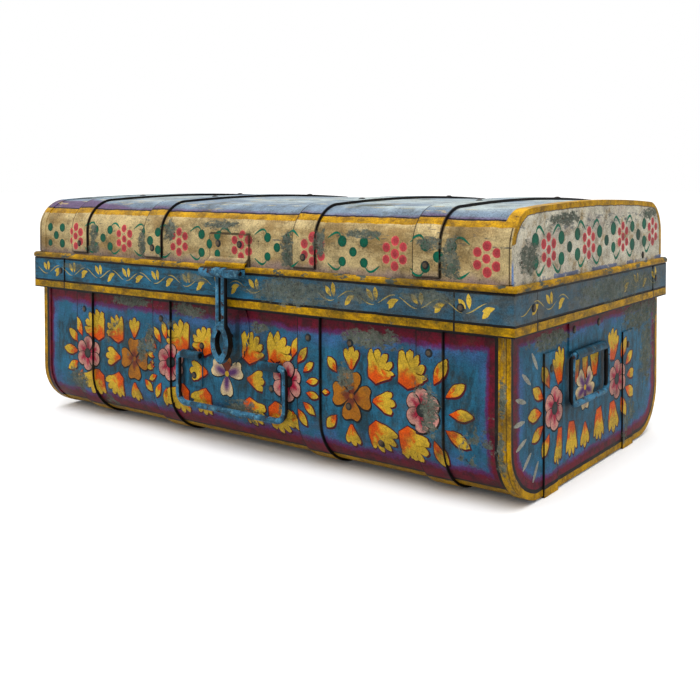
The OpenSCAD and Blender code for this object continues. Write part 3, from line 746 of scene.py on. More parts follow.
def wear(name, places, amount, chip_size):
    """Turns fresh paint into old paint, with the roughness and the height of what is left."""

    def make(p, colour):
        worn = worn_share(p, places) * amount
        left = p.mix(p.noise(7, 5, 0.7, seed=33).above(0.38, 0.66), GREY_GREEN, WORN_PALE)
        left = p.mix(p.noise(4, 4, 0.7, seed=34).above(0.58, 0.66), left, RUST)
        grain = p.noise(1.7, 3, 0.75, seed=43)
        strokes = p.noise(3, 4, 0.7, stretch=(6, 6, 1), seed=35)
        cloudy = p.noise(26, 6, 0.7, seed=36)
        light = grain.above(0.3, 0.7) * 0.50 + strokes.above(0.3, 0.7) * 0.08
        light = light + cloudy.above(0.3, 0.7) * 0.48 + 0.40
        grime = p.noise(38, 6, 0.75, seed=37).above(0.50, 0.68) * 0.55
        cracks = abs(p.noise(13, 6, 0.72, seed=48) - 0.5).above(0.011, 0.003)
        cracks = cracks * p.noise(30, 2, 0.6, seed=49).above(0.45, 0.6) * 0.5
        colour = p.mix(cracks, p.mix(grime, colour, GRIME), CRACK)
        colour = p.shade(p.mix(worn, colour, left), light)
        chips = p.noise(chip_size, 6, 0.8, seed=38) + (p.noise(60, 2, seed=39) - 0.5) * 0.2
        specks = p.noise(1.5, 2, 0.5, seed=40).above(0.64, 0.68)
        specks = specks * p.noise(34, 3, 0.6, seed=41).above(0.46, 0.58) * 0.7
        bare = most(chips.above(0.66, 0.675), specks) * amount
        colour = p.mix(bare, colour, CHIPPED)
        rough = 0.44 + cloudy * 0.2 + worn * 0.22 + bare * 0.2
        dents = p.noise(60, 1, 0.4, seed=42) * 1.6
        height = dents + strokes * 0.14 + grain * 0.07 + cloudy * 0.2 - worn * 0.16 - bare * 0.16
        return colour, rough, height

    return group(name, ("Color", "Roughness", "Height"), make, takes_colour=True)


# Each coat's fresh paint, its large worn places, how much it has worn and the size of its chips
COAT_KINDS = {
    "body": (body_coat, WORN_BODY, 1.0, 9),
    "lid": (lid_coat, WORN_LID, 1.0, 9),
    "rim": (rim_coat, WORN_RIM, 0.8, 9),
    "bead": (bead_coat, [], 0.7, 9),
    "hasp": (hasp_coat, [], 0.7, 6),
    "hardware": (hardware_coat, [], 0.5, 5),
    "iron": (iron_coat, [], 0.5, 4),
    "rivet": (rivet_coat, [], 0.5, 3),
}
COATS = {
    kind: (group(f"{kind}_coat", ("Color",), coat), wear(f"{kind}_wear", places, amount, chip_size))
    for kind, (coat, places, amount, chip_size) in COAT_KINDS.items()
}


def painted(name, coat, drawn=False, grime_and_shade_axes=(), metallic=0.0):
    """A material of worn paint. A drawn one mixes in the colours that its mesh carries. Faces turned along a
    grime-and-shade axis are painted black, as dark grime and painted shade on the sides of straps and
    handles.
    """
    material = bpy.data.materials.new(name)
    tree = emptied(material)
    p = Paint(tree)
    fresh, worn = COATS[coat]
    colour = use(tree, fresh)["Color"]
    if drawn:
        own = tree.nodes.new("ShaderNodeAttribute")
        own.attribute_name = "paint"
        brush = p.noise(2.2, 4, 0.75, stretch=(1, 1, 2.5), seed=50)
        cover = (Val(tree, own.outputs["Alpha"]) + (brush - 0.5) * 0.7).above(0.15, 0.75)
        colour = p.mix(cover, colour, Val(tree, own.outputs["Color"]))
    # Sides turned along these axes are painted black: dark grime and painted shade on the sides of straps
    # and handles
    for axis in grime_and_shade_axes:
        colour = p.mix(abs(p.normal(axis)).above(0.6, 0.8), colour, BLACK)
    out = use(tree, worn, colour)
    shader = tree.nodes.new("ShaderNodeBsdfPrincipled")
    shader.inputs["Metallic"].default_value = metallic
    shader.inputs["Specular IOR Level"].default_value = 0.12
    put(tree, shader.inputs["Base Color"], out["Color"])
    put(tree, shader.inputs["Roughness"], out["Roughness"])
    bump = tree.nodes.new("ShaderNodeBump")
    bump.inputs["Strength"].default_value = 0.6
    bump.inputs["Distance"].default_value = 0.8 * MM
    put(tree, bump.inputs["Height"], out["Height"])
    tree.links.new(bump.outputs[0], shader.inputs["Normal"])
    end_with(tree, shader)
    return material


# Materials of the CAD nodes, by the starts of their names. The first that fits is taken
HARDWARE = painted("hardware_paint", "hardware")
FINISHES = [
    ("end_strap", painted("end_strap_paint", "body", grime_and_shade_axes=(1,))),
    ("body_strap", painted("body_strap_paint", "body", grime_and_shade_axes=(0,))),
    (("body_rivets", "lid_rivets"), painted("rivet_iron", "rivet", metallic=0.2)),
    ("body_rim_wire", HARDWARE),
    (("body", "staple_plate", "end_plate", "front_clip"), painted("body_paint", "body")),
    ("lid_strap", painted("lid_strap_paint", "lid", grime_and_shade_axes=(0,))),
    ("lid_bead", painted("bead_paint", "bead")),
    (("lid_rim", "corner_clip"), painted("rim_paint", "rim")),
    ("lid", painted("lid_paint", "lid")),
    ("hasp_plate", painted("hasp_paint", "hasp")),
    (("front_handle", "hasp_arm"), painted("handle_paint", "hardware", grime_and_shade_axes=(0,))),
    ("end_handle", painted("end_handle_paint", "hardware", grime_and_shade_axes=(1,))),
    (("hasp_pin", "hinge_pin", "staple"), painted("bare_iron", "iron", metallic=0.3)),
    ("", HARDWARE),
]

# Body, slot and material of the painting on each part of the trunk
PAINTINGS = {
    "body": ("base", "body_paint", painted("body_ornament", "body", drawn=True)),
    "lid": ("lid", "lid_paint", painted("lid_ornament", "lid", drawn=True)),
    "rim": ("lid", "rim_paint", painted("rim_ornament", "rim", drawn=True)),
}


def finish_nodes():
    """Gives each CAD node its material."""
    for name, node in frame["nodes"].items():
        material = next(m for starts, m in FINISHES if name.startswith(starts))
        node.data.materials.clear()
        node.data.materials.append(material)


# How far the drawn paint stands on the surface, and each coat of it on the last
PAINT_T = 0.1
COAT_T = 0.012


class Artwork:
    """Paint drawn on one face of the trunk, in millimetres u across and v up.

    place(u, v, lift) gives the point in space, and raised(u, v) how far straps and plates stand out there.
    """

    def __init__(self, name, body, slot, material, place, raised, cuts_u, cuts_v):
        self.name, self.body, self.slot, self.material = name, body, slot, material
        self.place, self.raised, self.cuts_u, self.cuts_v = place, raised, cuts_u, cuts_v
        self.mesh = bmesh.new()
        self.colour = self.mesh.verts.layers.float_color.new("paint")
        self.lift = self.mesh.verts.layers.float.new("lift")
        self.seed = len(name) * 7.3
        self.height = PAINT_T

    def point(self, u, v, colour, alpha=1.0):
        vert = self.mesh.verts.new((u, v, 0))
        vert[self.colour] = linear(colour, alpha)
        vert[self.lift] = self.height
        return vert

    def rest(self):
        """Starts a motif that overlaps none before it, back at the surface."""
        self.height = PAINT_T

    def shape(self, outline, heart, colours, glow=None):
        """Fills an outline in rings about its heart, over what the motif has already.

        Colours gives a colour for a share of the way out and a place. A glow is a cover that fades outwards.
        """
        self.height += COAT_T
        cover = 1.0 if glow is None else glow
        middle = self.point(heart[0], heart[1], colours(0.0, heart), cover)
        previous = None
        for share in (0.3, 0.55, 0.8, 1.0):
            fade = 1.0 if glow is None else glow * (1 - soft_step(0.2, 1.0, share))
            ring = []
            for u, v in outline:
                at = (heart[0] + (u - heart[0]) * share, heart[1] + (v - heart[1]) * share)
                ring.append(self.point(at[0], at[1], colours(share, at), fade))
            for i in range(len(ring)):
                j = (i + 1) % len(ring)
                if previous is None:
                    self.mesh.faces.new((middle, ring[i], ring[j]))
                else:
                    self.mesh.faces.new((previous[i], ring[i], ring[j], previous[j]))
            previous = ring

    def stroke(self, line, width, colour):
        """A brush stroke along a line, thin at both ends."""
        self.height += COAT_T
        rows = []
        for i, (u, v) in enumerate(line):
            before, after = line[max(i - 1, 0)], line[min(i + 1, len(line) - 1)]
            du, dv = after[0] - before[0], after[1] - before[1]
            size = math.hypot(du, dv) or 1
            half = width / 2 * (0.3 + 0.7 * math.sin(math.pi * i / (len(line) - 1)))
            rows.append([self.point(u - dv / size * half * side, v + du / size * half * side, colour)
                         for side in (-1, 1)])
        for a, b in zip(rows, rows[1:]):
            self.mesh.faces.new((a[0], a[1], b[1], b[0]))

    def cut(self):
        """Cuts the drawing where the surface steps or curves."""
        cuts = [((u, 0, 0), (1, 0, 0)) for u in self.cuts_u]
        cuts += [((0, v, 0), (0, 1, 0)) for v in self.cuts_v]
        for at, normal in cuts:
            parts = self.mesh.verts[:] + self.mesh.edges[:] + self.mesh.faces[:]
            bmesh.ops.bisect_plane(self.mesh, geom=parts, plane_co=at, plane_no=normal, dist=1e-4)

    def laid(self):
        """The drawing as a mesh on the surface, in metres. Faces beside a step share no points across it."""
        points, faces, paints, known = [], [], [], {}
        for face in self.mesh.faces:
            middle = face.calc_center_median()
            out = self.raised(middle.x, middle.y)
            if out is None:
                continue
            corners = []
            for vert in face.verts:
                key = (vert, round(out, 3))
                if key not in known:
                    known[key] = len(points)
                    points.append(Vector(self.place(vert.co.x, vert.co.y, out + vert[self.lift])) * MM)
                    paints.append(tuple(vert[self.colour]))
                corners.append(known[key])
            faces.append(corners)
        mesh = bpy.data.meshes.new(self.name)
        mesh.from_pydata(points, [], faces)
        attribute = mesh.color_attributes.new("paint", "FLOAT_COLOR", "POINT")
        attribute.data.foreach_set("color", [c for paint in paints for c in paint])
        return mesh

    def finish(self):
        """Makes the drawing a piece of its own that rides on its body."""
        self.cut()
        mesh = self.laid()
        self.mesh.free()
        turn_outwards(mesh)
        piece = bpy.data.objects.new(self.name, mesh)
        bpy.context.scene.collection.objects.link(piece)
        mesh.materials.append(self.material)
        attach(piece, self.body)


# Where the middle of the trunk is in metres, and how much its length counts in telling outwards from inwards
TRUNK_MIDDLE = Vector((0, 0, 0.14))
LENGTH_SHARE = 0.25


def turn_outwards(mesh):
    """Turns over the faces that look into the trunk."""
    bm = bmesh.new()
    bm.from_mesh(mesh)
    bm.normal_update()
    inward = []
    for face in bm.faces:
        out = face.calc_center_median() - TRUNK_MIDDLE
        out.x *= LENGTH_SHARE
        if face.normal.dot(out) < 0:
            inward.append(face)
    bmesh.ops.reverse_faces(bm, faces=inward)
    bm.to_mesh(mesh)
    bm.free()


def wobble(u, v, seed):
    """A small number that changes smoothly from place to place, for a hand's unevenness."""
    return noise.noise(Vector((u * 0.11, v * 0.11, seed)))


def turned(points, at, angle, mirror=1):
    """Points turned by an angle in degrees and moved, after a mirroring across."""
    c, s = math.cos(math.radians(angle)), math.sin(math.radians(angle))
    return [(at[0] + mirror * (u * c - v * s), at[1] + u * s + v * c) for u, v in points]


def drop_outline(length, width, count=22):
    """A teardrop from its point at the origin along +u."""
    line = []
    for i in range(count):
        a = 2 * math.pi * i / count
        half = width / 2 * math.sin(a) * math.sin(a / 2) ** 0.6 * 1.15
        line.append((length * (1 - math.cos(a)) / 2, half))
    return line


def almond_outline(length, width, count=24):
    """A leaf pointed at both ends, from the origin along +u, and fuller past its middle."""
    line = []
    for i in range(count):
        a = 2 * math.pi * i / count
        share = (1 - math.cos(a)) / 2
        full = math.sin(math.pi * share ** 1.15) ** 0.85
        line.append((length * share, width / 2 * full * (1 if math.sin(a) > 0 else -1)))
    return line


def oval_outline(half_u, half_v, count=20):
    return [(half_u * math.cos(2 * math.pi * i / count), half_v * math.sin(2 * math.pi * i / count))
            for i in range(count)]


def hand_outline(length, spread=48, lobes=5, lean=0.0, cleft=0.22, blunt=0.15):
    """A leaf like an open hand, fanning out from its blunt base at the origin along +u.

    Lean makes the fingers on one side longer than those on the other.
    """
    sides = math.radians(spread)
    start = length * (1 - cleft) * 0.82
    foot = length * blunt
    flank = [(start * share * math.cos(sides), start * share * math.sin(sides) + foot * (1 - share))
             for share in (0.04, 0.4, 0.75)]
    line = [(u, -v) for u, v in flank]
    steps = 8 * lobes
    for i in range(steps + 1):
        share = i / steps
        across = 2 * share - 1
        finger = abs(math.sin(math.pi * lobes * share)) ** 0.65
        reach = length * (1 - 0.18 * across ** 2 + lean * across) * (1 - cleft + cleft * finger)
        line.append((reach * math.cos(across * sides), reach * math.sin(across * sides)))
    return line + flank[::-1]


def heart_outline(length, width, count=32):
    """A petal like a heart, from its point at the origin along +u."""
    line = []
    for i in range(count):
        a = 2 * math.pi * i / count
        notch = 1 - 0.15 * math.exp(-((math.pi - a) / 0.4) ** 2)
        u = length * (1 - math.cos(a)) / 2 * notch
        line.append((u, width / 2 * math.sin(a) * abs(math.sin(a / 2)) ** 1.2 * 1.22))
    return line


# How far a motif's dark outline is off to the lower right, as if dragged by the brush
EDGE_SHIFT = 0.6


def motif(art, outline, heart, at, angle, mirror, colours, edge=LEAF_EDGE, edge_w=1.9, uneven=0.05):
    """One outlined shape: a dark one a little larger, and the colours over it."""
    rough, grown = [], []
    for u, v in outline:
        du, dv = u - heart[0], v - heart[1]
        push = 1 + uneven * wobble(at[0] + u * 3, at[1] + v * 3, art.seed)
        push_out = push + edge_w / (math.hypot(du, dv) * push or 1) * push
        rough.append((heart[0] + du * push, heart[1] + dv * push))
        grown.append((heart[0] + du * push_out, heart[1] + dv * push_out))
    middle = turned([heart], at, angle, mirror)[0]
    dark = turned(grown, (at[0] + EDGE_SHIFT, at[1] - EDGE_SHIFT), angle, mirror)
    art.shape(dark, (middle[0] + EDGE_SHIFT, middle[1] - EDGE_SHIFT), lambda share, p: edge)
    c, s = math.cos(math.radians(angle)), math.sin(math.radians(angle))

    def by_place(share, p):
        du, dv = (p[0] - at[0]) * mirror, p[1] - at[1]
        return colours(du * c + dv * s, dv * c - du * s, p)

    art.shape(turned(rough, at, angle, mirror), middle, by_place)


def flame(length, orange=0.42, half=0.3):
    """Orange from a leaf's base up its middle, and yellow towards its edges and tips, in uneven streaks."""

    def colours(u, v, p):
        streak = wobble(p[0] * 2.4, p[1] * 1.6, 4.0) * 0.26 + wobble(v * 6, u * 0.8, 9.0) * 0.28
        beside = max(v / (half * length) - 0.35, 0) * 0.5
        yellow = soft_step(orange - 0.14, orange + 0.12, u / length + streak + beside)
        return blend(LEAF_ORANGE, LEAF_YELLOW, yellow)

    return colours


def tear(art, at, angle, length=27, width=12):
    """A narrow leaf pointed at both ends."""
    art.rest()
    leaf = almond_outline(length, width)
    motif(art, leaf, (length * 0.5, 0), at, angle, 1, flame(length), uneven=0.10)


def hand_leaf(art, at, angle, length=38, mirror=1, lobes=5, spread=46):
    """A large leaf like an open hand."""
    art.rest()
    lean = 0.12 * wobble(at[0] * 1.7, at[1] * 1.3, 12.0) + 0.06
    leaf = hand_outline(length, spread, lobes, lean)
    motif(art, leaf, (length * 0.5, 0), at, angle, mirror, flame(length, 0.42, 0.4), uneven=0.12)


def bud_leaf(art, at, angle, length=26, mirror=1):
    """A small heart-shaped leaf with three short fingers."""
    art.rest()
    leaf = hand_outline(length, 34, 3, 0, 0.22, 0.04)
    motif(art, leaf, (length * 0.55, 0), at, angle, mirror, flame(length, 0.36), uneven=0.08)


def fan(art, centre, radius, first, last, count, length=27, width=12, waist=0.0):
    """Leaves round a flower, with their points towards it. A waist makes the middle ones shorter."""
    for i in range(count):
        angle = first + (last - first) * i / max(count - 1, 1)
        a = math.radians(angle)
        across = abs(2 * i / max(count - 1, 1) - 1)
        jitter = (1 + 0.16 * wobble(i * 40, angle, art.seed)) * (1 - waist * (1 - across))
        at = (centre[0] + radius * math.cos(a), centre[1] + radius * 1.02 * math.sin(a))
        tear(art, at, angle + 16 * wobble(angle, i * 31, 2.0), length * jitter, width * jitter)


def disc(art, at, radius, colour, rim=None, glow=None):
    outline = turned(oval_outline(radius, radius), at, 0)
    rim = rim or colour
    art.shape(outline, at, lambda share, p: blend(colour, rim, share ** 2), glow)


def pink_flower(art, at, radius=23):
    """Six rounded pink petals with rose strokes about a dark eye."""
    art.rest()

    def colours(u, v, p):
        stroke = math.exp(-(v / (radius * 0.11)) ** 2) * soft_step(radius * 0.80, radius * 0.45, u)
        deep = soft_step(radius * 0.5, radius * 0.15, u) * 0.6
        pale = wobble(p[0] * 3, p[1] * 3, 1.5) * 0.25
        return blend(PETAL_PINK, PETAL_ROSE, min(max(stroke + deep + pale, 0), 1))

    length = radius - 2
    petal = drop_outline(length, radius * 0.80)
    for i in range(6):
        angle = 60 * i + 30 + 8 * wobble(i * 50, at[0], 3.0)
        start = turned([(2, 0)], at, angle)[0]
        motif(art, petal, (length * 0.6, 0), start, angle, 1, colours, edge=BLACK, edge_w=1.5)
    disc(art, at, radius * 0.30, FLOWER_EYE, BLACK)


def brown_flower(art, at, radius=29):
    """Four heart-shaped petals, orange-brown with a rust middle."""
    art.rest()

    def colours(u, v, p):
        ripple = 5 * wobble(p[0] * 2, p[1] * 2, 6.0)
        outer = soft_step(radius * 0.30, radius * 0.62, u + abs(v) * 1.1 + ripple)
        return blend(PETAL_RUST, PETAL_BROWN, outer)

    petal = heart_outline(radius, radius * 0.96)
    for i in range(4):
        angle = 90 * i + 6 * wobble(i * 60, at[0], 5.0)
        motif(art, petal, (radius * 0.58, 0), at, angle, 1, colours, edge=BLACK, edge_w=1.7)
    disc(art, at, radius * 0.13, PETAL_BROWN, PETAL_RUST)


def cream_flower(art, at, radius, angles, brown_top=True):
    """Cream petals with purple hearts, with the first petal orange-brown where it is asked for."""
    art.rest()

    def pale(u, v, p):
        inner = math.exp(-(v / (radius * 0.15)) ** 2) * soft_step(radius * 0.85, radius * 0.4, u)
        return blend(PETAL_CREAM, PETAL_PURPLE, min(inner * 1.1, 1))

    def dark(u, v, p):
        return blend(PETAL_RUST, PETAL_BROWN, soft_step(radius * 0.3, radius * 0.7, u))

    for i, angle in enumerate(angles):
        top = brown_top and i == 0
        length = radius * (0.72 if top else 0.95)
        petal = heart_outline(length, radius * (0.66 if top else 0.74))
        motif(art, petal, (length * 0.58, 0), at, angle, 1, dark if top else pale, edge=BLACK, edge_w=1.0)
    disc(art, at, radius * 0.11, LEAF_YELLOW)


# Places of the flowers along the body, by shares of half its length, and of the one in the middle of its end
MID_Z = BEND_Z + 29
PINK_OUTER = 0.73 * HALF_LEN
PINK_INNER = 0.262 * HALF_LEN
BROWN = 0.48 * HALF_LEN
MIDDLE_X = -0.026 * HALF_LEN
END_MIDDLE = -0.14 * HALF_DEPTH

# Steps of the leaves from a pink flower, and heights of the upper and the lower row about the middle line
LEAF_STEPS = ((26, 40), (67, 36))
UPPER_ROW = 20
LOWER_ROW = -25


def leaf_rows(art, x, inward):
    """Two leaves above, two below and a small one between, on a pink flower's inner side."""
    outward = -inward
    for step, size in LEAF_STEPS:
        at = x + inward * step
        hand_leaf(art, (at, MID_Z + UPPER_ROW), 57, size, outward)
        hand_leaf(art, (at, MID_Z + LOWER_ROW), -53, size, outward)
    bud_leaf(art, (x + inward * 66, MID_Z - 1), 0, 30, outward)


def draw_body_side(art):
    """The long painting of the front, the same to both sides of its middle flower."""
    for side in (-1, 1):
        facing = 0 if side > 0 else 180
        outer, brown, near = side * PINK_OUTER, side * BROWN, MIDDLE_X + side * PINK_INNER
        leaf_rows(art, outer, -side)
        leaf_rows(art, near, -side)
        fan(art, (outer, MID_Z - 2), 29 + 3 * side, facing - 62, facing + 62, 5, 29, 12)
        fan(art, (near, MID_Z + 2), 31, facing - 78, facing + 78, 8, 24, 10, 0.3)
        fan(art, (brown, MID_Z), 32, facing + 132, facing + 228, 3, 20, 11, 0.55)
        bud_leaf(art, (brown, MID_Z + 28), 90)
        bud_leaf(art, (brown, MID_Z - 31), -90)
        pink_flower(art, (outer, MID_Z - 2))
        pink_flower(art, (near, MID_Z + 4))
        brown_flower(art, (brown, MID_Z))
    cream_flower(art, (MIDDLE_X, MID_Z + 1), 31, (90, 163, 268, 17))


def draw_body_end(art):
    """The smaller painting of an end: two pink flowers beside a cream one, with leaves above and below."""
    for side, reach in ((-1, 78), (1, 89)):
        centre = (END_MIDDLE + side * reach, MID_Z - 4)
        facing = 0 if side > 0 else 180
        fan(art, centre, 27, facing - 62, facing + 62, 5, 26, 12)
        beside = centre[0] - side * 14
        hand_leaf(art, (beside, centre[1] + 24), 80, 38, side, 4, 34)
        hand_leaf(art, (beside, centre[1] - 24), -82, 38, side, 3, 27 + side * 5)
        pink_flower(art, centre)
    for step in (-34, 37):
        hand_leaf(art, (END_MIDDLE + step, MID_Z - 27), -90, 38, lobes=4, spread=30)
    bud_leaf(art, (END_MIDDLE, MID_Z - 36), -90, 28)
    for step, lobes in ((-25, 3), (0, 2), (25, 3)):
        hand_leaf(art, (END_MIDDLE + step, MID_Z + 12), 90, 34, lobes=lobes, spread=9 * lobes)
    cream_flower(art, (END_MIDDLE, MID_Z + 3), 28, (45, 135, 200, 270, 340), brown_top=False)
    faded_rays(art, (END_MIDDLE - 78, MID_Z - 4))


def faded_rays(art, centre, count=7):
    """Pale strokes like rays round the outer side of a flower."""
    for i in range(count):
        angle = math.radians(124 + 19 * i)
        near = (centre[0] + 62 * math.cos(angle), centre[1] + 56 * math.sin(angle))
        far = (near[0] + 22 * math.cos(angle), near[1] + 22 * math.sin(angle))
        art.rest()
        art.stroke([near, blend(near, far, 0.3), blend(near, far, 0.7), far], 5.5, FADED)


def berries(art, at, radius=12.8):
    """A middle berry and six round it, in a pale glow."""
    art.rest()
    places = [at] + [turned([(radius, 0)], at, angle)[0] for angle in range(30, 390, 60)]
    for place in places:
        disc(art, place, 8.5, BERRY_HALO, glow=0.85)
    for u, v in places:
        shift = (wobble(u * 2, v * 2, 6.0) * 1.5, wobble(u * 2, v * 2, 7.0) * 1.5)
        size = 5 + 0.9 * wobble(u * 3, v * 3, 1.0)
        disc(art, (u + shift[0], v + shift[1]), size, blend(BERRY, BLACK, 0.25), BERRY)


def green_leaf(art, at, dark=False, size=1.0):
    size *= 5.8 + 1.45 * wobble(at[0] * 2, at[1] * 2, 8.0)
    outline = turned(oval_outline(size, size, 14), at, 26 * wobble(at[0], at[1], 5.0))
    art.shape(outline, at, lambda share, p: blend(LEAF_GREEN, LEAF_DARK, 0.6 if dark else 0.3 * share))


def tendril(art, start, end, rise, width=2.6):
    """A curved stroke from a leaf over or under a cluster of berries."""
    line = []
    for i in range(13):
        t = i / 12
        u, v = blend(start, end, t)
        line.append((u, v + rise * math.sin(math.pi * t ** 0.7)))
    art.stroke(line, width, TENDRIL_GREEN)


def leaf_cross(art, at, spread=15, rise=11, curls=True):
    """Five green leaves between two clusters, four of them with a tendril where it has curls."""
    art.rest()
    green_leaf(art, at)
    for side in (-1, 1):
        for up in (-1, 1):
            place = (at[0] + side * spread, at[1] + up * rise)
            tip = (place[0] + side * 21, place[1] + up * 2.5)
            if curls:
                tendril(art, (place[0] + side * 1, place[1] + up * 2), tip, up * 7)
            green_leaf(art, place)


# Clusters of berries along the lid: their pitch, the shift of the middle one and the drift to the left end
CLUSTER_PITCH = 0.293 * HALF_LEN
CLUSTER_SHIFT = 0.055 * HALF_LEN
LEFT_DRIFT = 0.6
BAND_V = BEAD_TOP + 21

# The same along the lid's end, and how much each cluster there stands above the one before
END_PITCH = 0.5 * HALF_DEPTH
END_FIRST = -0.635 * HALF_DEPTH
END_CLIMB = 1.7


def draw_lid_side(art):
    """Berries and leaves in turn along the lid's band."""
    for i in range(-3, 4):
        at = CLUSTER_SHIFT + i * CLUSTER_PITCH + LEFT_DRIFT * max(-i, 0) ** 3
        if abs(at) < HALF_LEN - 14:
            berries(art, (at, BAND_V + 3.5 + 2 * wobble(at, 0, 3.0)))
        if i < 3:
            leaf_cross(art, (at + CLUSTER_PITCH / 2, BAND_V + 3))
    leaf_cross(art, (CLUSTER_SHIFT - 3 * CLUSTER_PITCH - 33, BAND_V + 3), spread=14, curls=False)


def draw_lid_end(art):
    """Four clusters with leaves and looped tendrils between them."""
    for i in range(4):
        at = END_FIRST + i * END_PITCH
        height = BEAD_TOP + 30 + END_CLIMB * i
        berries(art, (at, height), 13)
        for side in (-1, 1):
            if abs(at + side * END_PITCH / 2) > LID_HALF_DEPTH - 8:
                continue
            art.rest()
            for up in (-1, 1):
                leaf = (at + side * 29, height + up * 11)
                tendril(art, (leaf[0], leaf[1] + up * 3), (at + side * 9, height + up * 15), up * 10, 3.4)
                green_leaf(art, leaf, size=1.25)
        if i < 3:
            art.rest()
            green_leaf(art, (at + END_PITCH / 2, height), dark=True, size=1.2)


# The vine on the rim band: length and swing of a wave, steps of its line and how many make a stroke
VINE_PERIOD = 58
VINE_SWING = 6
VINE_STEP = 2.5
VINE_STROKE = 11
VINE_V = (HEM_TOP + RIM_TOP) / 2


def vine_leaves(art, u, up):
    """Two leaves in one bend of the vine."""
    art.rest()
    for lean in (-1, 1):
        tilt = (112 if up > 0 else -148) + lean * 15 + 14 * wobble(u, lean * 9, 3.0)
        size = 14 + 3 * wobble(u * 3, lean * 5, 6.0)
        base = (u + 4 - lean * 2, VINE_V - up * 1.5)
        heart = turned([(size * 0.55, 0)], base, tilt)[0]
        art.shape(turned(almond_outline(size, 6.2, 14), base, tilt), heart, lambda share, p: VINE_YELLOW)


def draw_vine(art, half, bare):
    """A waving vine with leaves in its bends, worn off between two shares of the half length."""
    count = int(2 * half / VINE_STEP)
    line = []
    for i in range(count + 1):
        u = -half + 2 * half * i / count
        line.append((u, VINE_V + VINE_SWING * math.sin(2 * math.pi * u / VINE_PERIOD)))
    for start in range(0, count - VINE_STROKE + 1, VINE_STROKE):
        if not within(line[start + VINE_STROKE // 2][0] / half, bare):
            art.rest()
            art.stroke(line[start:start + VINE_STROKE - 1], 1.3, FADED_VINE)
    waves = int(2 * half / VINE_PERIOD)
    for i in range(2 * waves):
        u = (i - waves + 0.5) * VINE_PERIOD / 2
        if not within(u / half, bare):
            vine_leaves(art, u, 1 if math.sin(2 * math.pi * u / VINE_PERIOD) < 0 else -1)


def draw_rim_side(art):
    draw_vine(art, RIM_HALF_LEN - 8, (0.12, 0.38))


def draw_rim_end(art):
    draw_vine(art, RIM_HALF_DEPTH - 10, (-0.45, 0.3))


def draw_lid_top(art):
    """Short pale strokes in two rows along the lid's blue top."""
    for row, v in enumerate((STRIPE_HIGH + 20, STRIPE_HIGH + 52)):
        for i in range(-9, 10):
            u = i * 40 + row * 20
            if abs(u) < HALF_LEN - 24:
                tilt = 2 * wobble(u, v, 2.0)
                art.rest()
                art.stroke([(u - 8, v - tilt), (u, v), (u + 8, v + tilt)], 2.6, blend(CREAM, LID_PALE, 0.5))


# Flat steps of a drawing on each rounded edge
BEND_STEPS = 16

# Half the width of a front clip's tail, and the heights of the end plate's tube, of the bend in the hasp's
# plate and of the lid straps' lower ends
TAIL_HALF = 14
TUBE_Z = corner("end_plate_right", False).z + 13
HASP_BEND_Z = BEAD_TOP + 9.5
STRAP_FROM_Z = BEAD_TOP + 3


def on_bend(along, radius, lift):
    """Out and up from a bend's axis, for a length along the bend, in flat steps as the drawing is cut."""
    step = radius * math.pi / 2 / BEND_STEPS
    k = min(int(along / step), BEND_STEPS - 1)
    ends = [((radius + lift) * math.cos(a), (radius + lift) * math.sin(a))
            for a in (k * step / radius, (k + 1) * step / radius)]
    return blend(ends[0], ends[1], along / step - k)


def bend_cuts(start, radius, count):
    """Heights of the cuts along a bend from its start, downwards where the radius is negative."""
    return [start + radius * math.pi / 2 / BEND_STEPS * i for i in range(count)]


def in_staple_plate(u, v):
    """Whether a point lies on the leaf-shaped plate of the staple."""
    low, high = BOXES["staple_plate"]
    half_w, half_h = (high.x - low.x) / 2, (high.z - low.z) / 2
    r = (half_h ** 2 + half_w ** 2) / (2 * half_w)
    dv = v - (high.z + low.z) / 2
    return abs(u) + r - half_w < math.sqrt(max(r * r - dv * dv, 0))


def flat_face(axis, reach, sign):
    """Places on a flat face that looks along x (0) or y (1)."""

    def place(u, v, lift):
        out = sign * (reach + lift)
        return (out, u, v) if axis == 0 else (u, out, v)

    return place


def body_side(sign):
    """Places, step-outs and cuts of the body's front (-1) or rear (1)."""
    tails = [BOXES[name] for name in ("front_clip_left", "front_clip_right")]

    def place(u, v, lift):
        if v >= BEND_Z:
            return (u, sign * (HALF_DEPTH + lift), v)
        out, down = on_bend(BEND_Z - v, BOTTOM_R, lift)
        return (u, sign * (BEND_Y + out), BEND_Z - down)

    def on_tail(u, v):
        return any(abs(u - (low.x + high.x) / 2) < TAIL_HALF and low.z < v < high.z for low, high in tails)

    def raised(u, v):
        if any(within(u, s) for s in BODY_STRAPS):
            return STRAP_T
        if sign < 0 and in_staple_plate(u, v):
            return LEAF_T
        return PLATE_T if sign < 0 and on_tail(u, v) else 0

    cuts_u = [edge for s in BODY_STRAPS for edge in s]
    cuts_v = bend_cuts(BEND_Z, -BOTTOM_R, BEND_STEPS)
    if sign < 0:
        cuts_u += [(low.x + high.x) / 2 + side * TAIL_HALF for low, high in tails for side in (-1, 1)]
        cuts_v.append(tails[0][0].z)
    return place, raised, cuts_u, cuts_v


def body_end(sign):
    """The same of the body's left (-1) or right (1) end."""
    straps = [BOXES[name] for name in ("end_strap_right_front", "end_strap_right_rear")]
    plate = BOXES["end_plate_right"]

    def raised(u, v):
        if plate[0].y < u < plate[1].y and v > TUBE_Z:
            return PLATE_T
        for low, high in straps:
            if low.y < u < high.y and v < high.z:
                return high.x - HALF_LEN
        return 0

    cuts_u = [end.y for box in (*straps, plate) for end in box]
    return flat_face(0, HALF_LEN, sign), raised, cuts_u, [TUBE_Z] + [high.z for low, high in straps]


